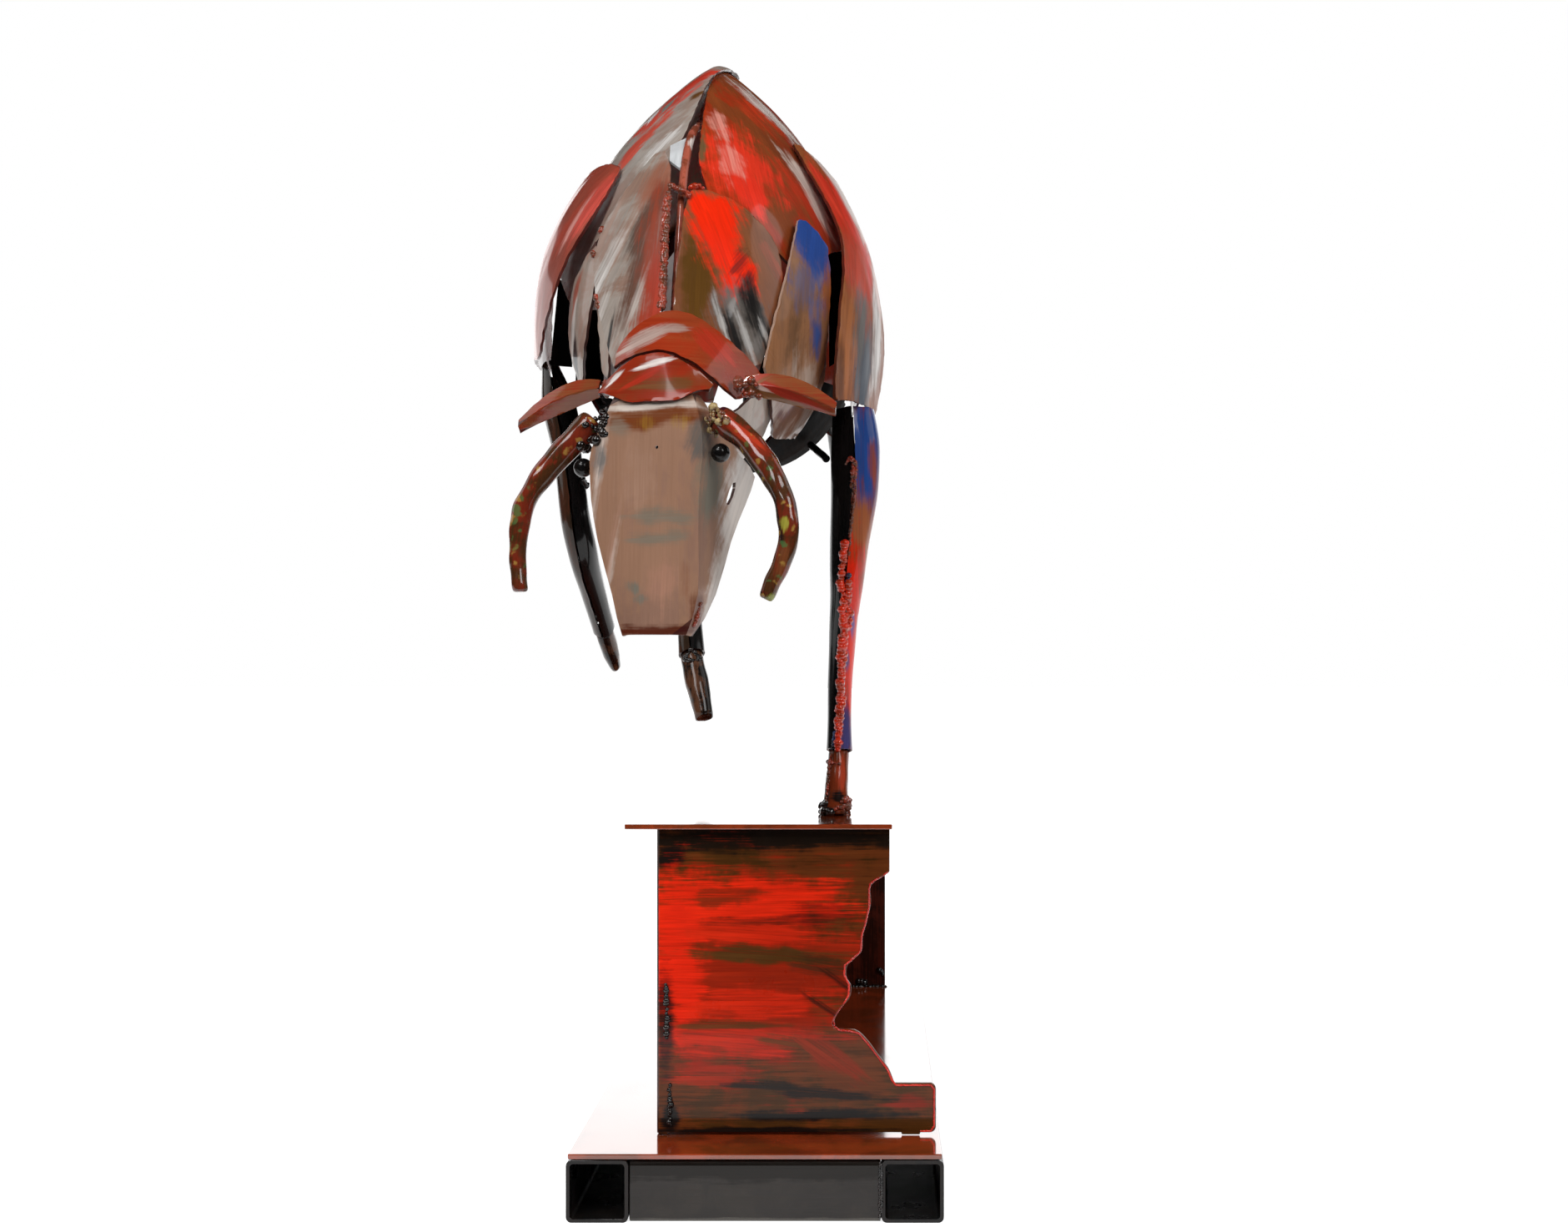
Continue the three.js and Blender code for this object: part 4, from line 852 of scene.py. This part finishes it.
def weld_tree():
    """Geometry Nodes: beads along the edges of a path, each of its own size, melted out of round."""
    tree = bpy.data.node_groups.new("weld bead", "GeometryNodeTree")
    tree.interface.new_socket("Geometry", in_out="OUTPUT", socket_type="NodeSocketGeometry")
    for label, kind in (("Path", "Geometry"), ("Bead Radius", "Float"), ("Spacing", "Float"),
                        ("Unevenness", "Float"), ("Seed", "Int"), ("Material", "Material")):
        tree.interface.new_socket(label, in_out="INPUT", socket_type="NodeSocket" + kind)
    given = add(tree, "NodeGroupInput").outputs
    path = add(tree, "GeometryNodeMeshToCurve", None, {"Mesh": given["Path"]})
    path = add(tree, "GeometryNodeResampleCurve", {"mode": "LENGTH"}, {
        "Curve": path.outputs[0], "Length": given["Spacing"]})
    stray = add(tree, "FunctionNodeRandomValue", {"data_type": "FLOAT_VECTOR"}, {
        0: (-0.5, -0.5, -0.5), 1: (0.5, 0.5, 0.5), "Seed": given["Seed"]})
    reach = add(tree, "ShaderNodeMath", {"operation": "MULTIPLY"}, {
        0: given["Bead Radius"], 1: given["Unevenness"]})
    stray = add(tree, "ShaderNodeVectorMath", {"operation": "SCALE"}, {
        0: stray.outputs[0], "Scale": reach.outputs[0]})
    path = add(tree, "GeometryNodeSetPosition", None, {
        "Geometry": path.outputs[0], "Offset": stray.outputs[0]})
    bead = add(tree, "GeometryNodeMeshUVSphere", None, {"Segments": 8, "Rings": 6})
    least, most = [
        add(tree, "ShaderNodeMath", {"operation": "MULTIPLY_ADD"}, {
            0: reach.outputs[0], 1: spread, 2: given["Bead Radius"]})
        for spread in (-SIZE_SPREAD, SIZE_SPREAD)]
    size = add(tree, "FunctionNodeRandomValue", {"data_type": "FLOAT"}, {
        2: least.outputs[0], 3: most.outputs[0], "Seed": given["Seed"]})
    turn = add(tree, "FunctionNodeRandomValue", {"data_type": "FLOAT_VECTOR"}, {
        1: TURNS, "Seed": given["Seed"]})
    beads = add(tree, "GeometryNodeInstanceOnPoints", None, {
        "Points": path.outputs[0], "Instance": bead.outputs[0], "Rotation": turn.outputs[0],
        "Scale": size.outputs[1]})
    beads = add(tree, "GeometryNodeRealizeInstances", None, {0: beads.outputs[0]})
    fine = add(tree, "ShaderNodeMath", {"operation": "DIVIDE"}, {0: MELT_WAVES, 1: given["Bead Radius"]})
    melt = add(tree, "ShaderNodeTexNoise", None, {"Scale": fine.outputs[0], "Detail": 1.0})
    melt = add(tree, "ShaderNodeVectorMath", {"operation": "SUBTRACT"}, {
        0: melt.outputs["Color"], 1: (0.5, 0.5, 0.5)})
    melt = add(tree, "ShaderNodeVectorMath", {"operation": "SCALE"}, {
        0: melt.outputs[0], "Scale": given["Bead Radius"]})
    beads = add(tree, "GeometryNodeSetPosition", None, {
        "Geometry": beads.outputs[0], "Offset": melt.outputs[0]})
    beads = add(tree, "GeometryNodeSetShadeSmooth", None, {0: beads.outputs[0]})
    beads = add(tree, "GeometryNodeSetMaterial", None, {
        "Geometry": beads.outputs[0], "Material": given["Material"]})
    add(tree, "NodeGroupOutput", None, {0: beads.outputs[0]})
    return tree


weld_bead = weld_tree()
PIXELS_PER_STEP = 5


def weld(runs, nodes, radius, material, spacing, unevenness, seed):
    """The mesh of a weld that follows runs of pixels over some CAD nodes. Its spacing is a share of the
    beads' radius."""
    shape = bmesh.new()
    for run in runs:
        last = None
        for start, end in zip(run, run[1:]):
            steps = max(1, round(math.dist(start, end) / PIXELS_PER_STEP))
            for i in range(steps + 1):
                pixel = [a + (b - a) * i / steps for a, b in zip(start, end)]
                corner = shape.verts.new(seen_point(pixel, *nodes))
                if last:
                    shape.edges.new((last, corner))
                last = corner
    holder = placed("holder", as_mesh(shape, "weld"))
    modifier = holder.modifiers.new("weld", "NODES")
    modifier.node_group = weld_bead
    values = {"Bead Radius": radius, "Spacing": radius * spacing, "Unevenness": unevenness,
              "Seed": seed, "Material": material}
    for item in weld_bead.interface.items_tree:
        if item.name in values:
            modifier[item.identifier] = values[item.name]
    graph = bpy.context.evaluated_depsgraph_get()
    made = bpy.data.meshes.new_from_object(holder.evaluated_get(graph))
    bpy.data.objects.remove(holder)
    return made


red_weld = lacquer("bright_red_lacquer_over_weld", ("#EE3418", "#B8381C"), roughness=(0.08, 0.2),
                   stroke=0.5, patch=5 * MM, coat=1)
brick_weld = lacquer("brick_lacquer_over_weld", ("#A5402C", "#6A3A28"), roughness=(0.15, 0.3), stroke=0.5,
                     patch=4 * MM, coat=0.8)
black_weld = lacquer("black_lacquer_over_weld", ("#0E0E0E", "#241A16"), roughness=(0.1, 0.25), stroke=0.5,
                     patch=4 * MM, coat=0.9)
blue_weld = lacquer("blue_lacquer_over_weld", ("#34508E", "#2A2A44"), roughness=(0.15, 0.3), stroke=0.5,
                    patch=4 * MM, coat=0.8)
standing_leg = ("fore_left_outer", "fore_left_inner", "fore_left_hoof")
ridge = ("withers_left", "withers_right", "neck_left", "neck_right", "spine_rod")
gold_weld = lacquer("gold_brown_lacquer_over_weld", ("#C8AE7A", "#6A3A24"), roughness=(0.1, 0.2),
                    stroke=0.4, patch=2.4 * MM, coat=1)
torch_lip = lacquer("bright_red_lacquer_on_torch_lip", ("#F0301C", "#C8281C"), roughness=(0.1, 0.2),
                    stroke=0.2, coat=1)
for name, nodes, radius, material, slot, (spacing, unevenness, seed), runs in [
    ("weld_leg_seam_top", standing_leg, 0.5, brick_weld, "brick_lacquer", (1.1, 0.7, 1),
     [[(1022, 552), (1026, 586), (1018, 650)]]),
    ("weld_leg_seam_red", standing_leg, 1.0, red_weld, "bright_red_lacquer", (0.6, 1.1, 3),
     [[(1013, 650), (1010, 690)], [(1008, 694), (1013, 730), (1012, 756)], [(1017, 700), (1018, 750)],
     [(1009, 764), (1007, 815)], [(1007, 816), (1008, 850)]]),
    ("weld_leg_seam_crown", standing_leg, 0.7, brick_weld, "brick_lacquer", (0.8, 0.6, 1),
     [[(1014, 556), (1020, 549), (1026, 556), (1022, 566)]]),
    ("weld_leg_seam_spots", standing_leg, 0.9, blue_weld, "blue_lacquer", (0.9, 0.6, 1),
     [[(1016, 733), (1019, 742)], [(1009, 786), (1012, 796)], [(1018, 690), (1016, 698)]]),
    ("weld_leg_seam_blue", standing_leg, 0.55, blue_weld, "blue_lacquer", (1.1, 0.7, 1),
     [[(1011, 822), (1004, 851), (998, 898)]]),
    ("weld_hoof_seam", standing_leg, 0.6, brick_weld, "brick_lacquer", (1.1, 0.7, 1),
     [[(996, 905), (990, 962)], [(990, 912), (1006, 916)]]),
    ("weld_foot_black", ("fore_left_hoof", "pedestal_top"), 1.2, black_weld, "black_lacquer",
     (1.0, 0.9, 1), [[(974, 976), (984, 972), (996, 974)], [(980, 966), (990, 964)]]),
    ("weld_foot_brown", ("fore_left_hoof", "pedestal_top"), 1.1, brick_weld, "brown_lacquer",
     (1.0, 0.9, 1), [[(1000, 970), (1018, 966), (1034, 968), (1046, 972)], [(1008, 960), (1030, 958)]]),
    ("weld_foot_front", ("fore_left_hoof", "pedestal_top"), 1.0, brick_weld, "brown_lacquer",
     (0.6, 0.9, 1), [[(992, 976), (1018, 977)]]),
    ("weld_ridge_blob", ridge, 1.3, red_weld, "bright_red_lacquer", (0.9, 0.8, 1),
     [[(826, 152), (834, 146), (842, 150), (848, 158)], [(828, 160), (840, 164)]]),
    ("weld_ridge_bar", ridge, 1.0, brick_weld, "brick_lacquer", (0.7, 0.4, 1),
     [[(803, 228), (812, 230), (822, 229), (832, 229)]]),
    ("weld_ridge_drips", ridge, 0.6, brick_weld, "brick_lacquer", (1.1, 0.7, 1),
     [[(813, 234), (812, 254)], [(827, 234), (829, 250)]]),
    ("weld_neck_strip", ridge, 1.2, brick_weld, "brick_lacquer", (0.5, 0.35, 1),
     [[(813, 238), (811, 300), (808, 370)], [(811, 240), (809, 300), (805, 370)]]),
    ("weld_foreleg_stub", ("fore_right_outer", "fore_right_inner"), 1.0, black_weld, "black_lacquer",
     (0.5, 0.4, 1), [[(692, 566), (698, 574), (703, 583)]]),
    ("weld_neck_seam", ridge, 0.4, black_weld, "black_lacquer", (1.1, 0.7, 1),
     [[(820, 262), (818, 320), (815, 376)]]),
    ("weld_shoulder_tacks", ("shoulder_left", "shoulder_right", "neck_right", "withers_left"), 0.8,
     brick_weld, "brick_lacquer", (0.8, 0.5, 1), [[(1007, 255), (1010, 262)], [(702, 262), (700, 268)],
     [(691, 297), (689, 304)], [(682, 362), (681, 369)], [(708, 364), (708, 371)]]),
    ("weld_horn_right", ("face", "horn_right"), 1.15, black_weld, "black_lacquer", (1.3, 0.9, 5),
     [[(700, 495), (712, 500), (724, 506)], [(703, 510), (716, 514), (728, 520)],
     [(706, 526), (716, 530)], [(704, 496), (732, 483)], [(698, 534), (706, 540)]]),
    ("weld_horn_left", ("face", "horn_left"), 0.95, gold_weld, "brown_lacquer", (1.3, 0.9, 6),
     [[(848, 490), (856, 500), (864, 508)], [(846, 502), (852, 514), (858, 524)],
     [(860, 492), (870, 504)], [(840, 484), (856, 488)]]),
    ("weld_ear_roots", ("ear_weld_left", "ear_weld_right", "ear_left", "ear_right"), 1.0, brick_weld,
     "brick_lacquer", (1.0, 0.8, 7), [[(886, 462), (896, 456), (906, 462)],
     [(890, 474), (900, 470), (910, 476)], [(704, 474), (716, 470), (728, 474)]]),
    ("weld_pedestal_edge", ("pedestal_front",), 0.8, black_weld, "black_lacquer", (1.2, 0.9, 8),
     [[(799, 1180), (800, 1215), (799, 1245)], [(803, 1302), (803, 1348)]]),
    ("weld_tube_joints", ("base_tube_left", "base_tube_right", "base_cross_front"), 0.5, black_weld,
     "black_lacquer", (0.7, 0.5, 1), [[(751, 1394), (751, 1460)], [(1055, 1394), (1055, 1460)]]),
    ("weld_pedestal_back", ("pedestal_back",), 1.5, black_weld, "black_lacquer", (0.6, 0.5, 1),
     [[(1053, 1163), (1058, 1167)], [(1030, 1176), (1036, 1178)]]),
    ("weld_pedestal_back_foot", ("pedestal_back", "base_plate"), 0.9, black_weld, "black_lacquer",
     (0.6, 0.4, 1), [[(1018, 1183), (1062, 1183)]]),
    ("torch_lip", ("pedestal_front",), 0.34, torch_lip, "bright_red_lacquer", (0.8, 0.3, 1),
     [[(1064, 1046), (1057, 1051), (1049, 1055), (1043, 1060), (1042, 1067), (1042, 1087), (1038, 1105),
     (1033, 1122), (1032, 1140), (1022, 1150), (1013, 1157), (1012, 1168), (1018, 1181), (1017, 1194),
     (1010, 1206), (1003, 1218), (1001, 1230), (1006, 1235), (1018, 1236), (1030, 1239), (1041, 1252),
     (1054, 1269), (1064, 1282), (1069, 1294), (1074, 1301), (1100, 1301), (1116, 1301), (1120, 1306),
     (1120, 1350), (1116, 1356), (1104, 1356)]]),
    ("weld_hind_hoof", ("hind_right_outer", "hind_right_inner", "hind_right_hoof"), 0.9, black_weld,
     "brown_lacquer", (0.9, 0.8, 1), [[(812, 787), (826, 792), (840, 790), (850, 785)]]),
    ("weld_muzzle_notch", ("face",), 0.6, brick_weld, "brown_lacquer", (1.1, 0.7, 1),
     [[(840, 724), (836, 738), (832, 750)]]),
]:
    beads = weld(runs, nodes, radius * MM, material, spacing, unevenness, seed)
    finished(name, beads, None, material)
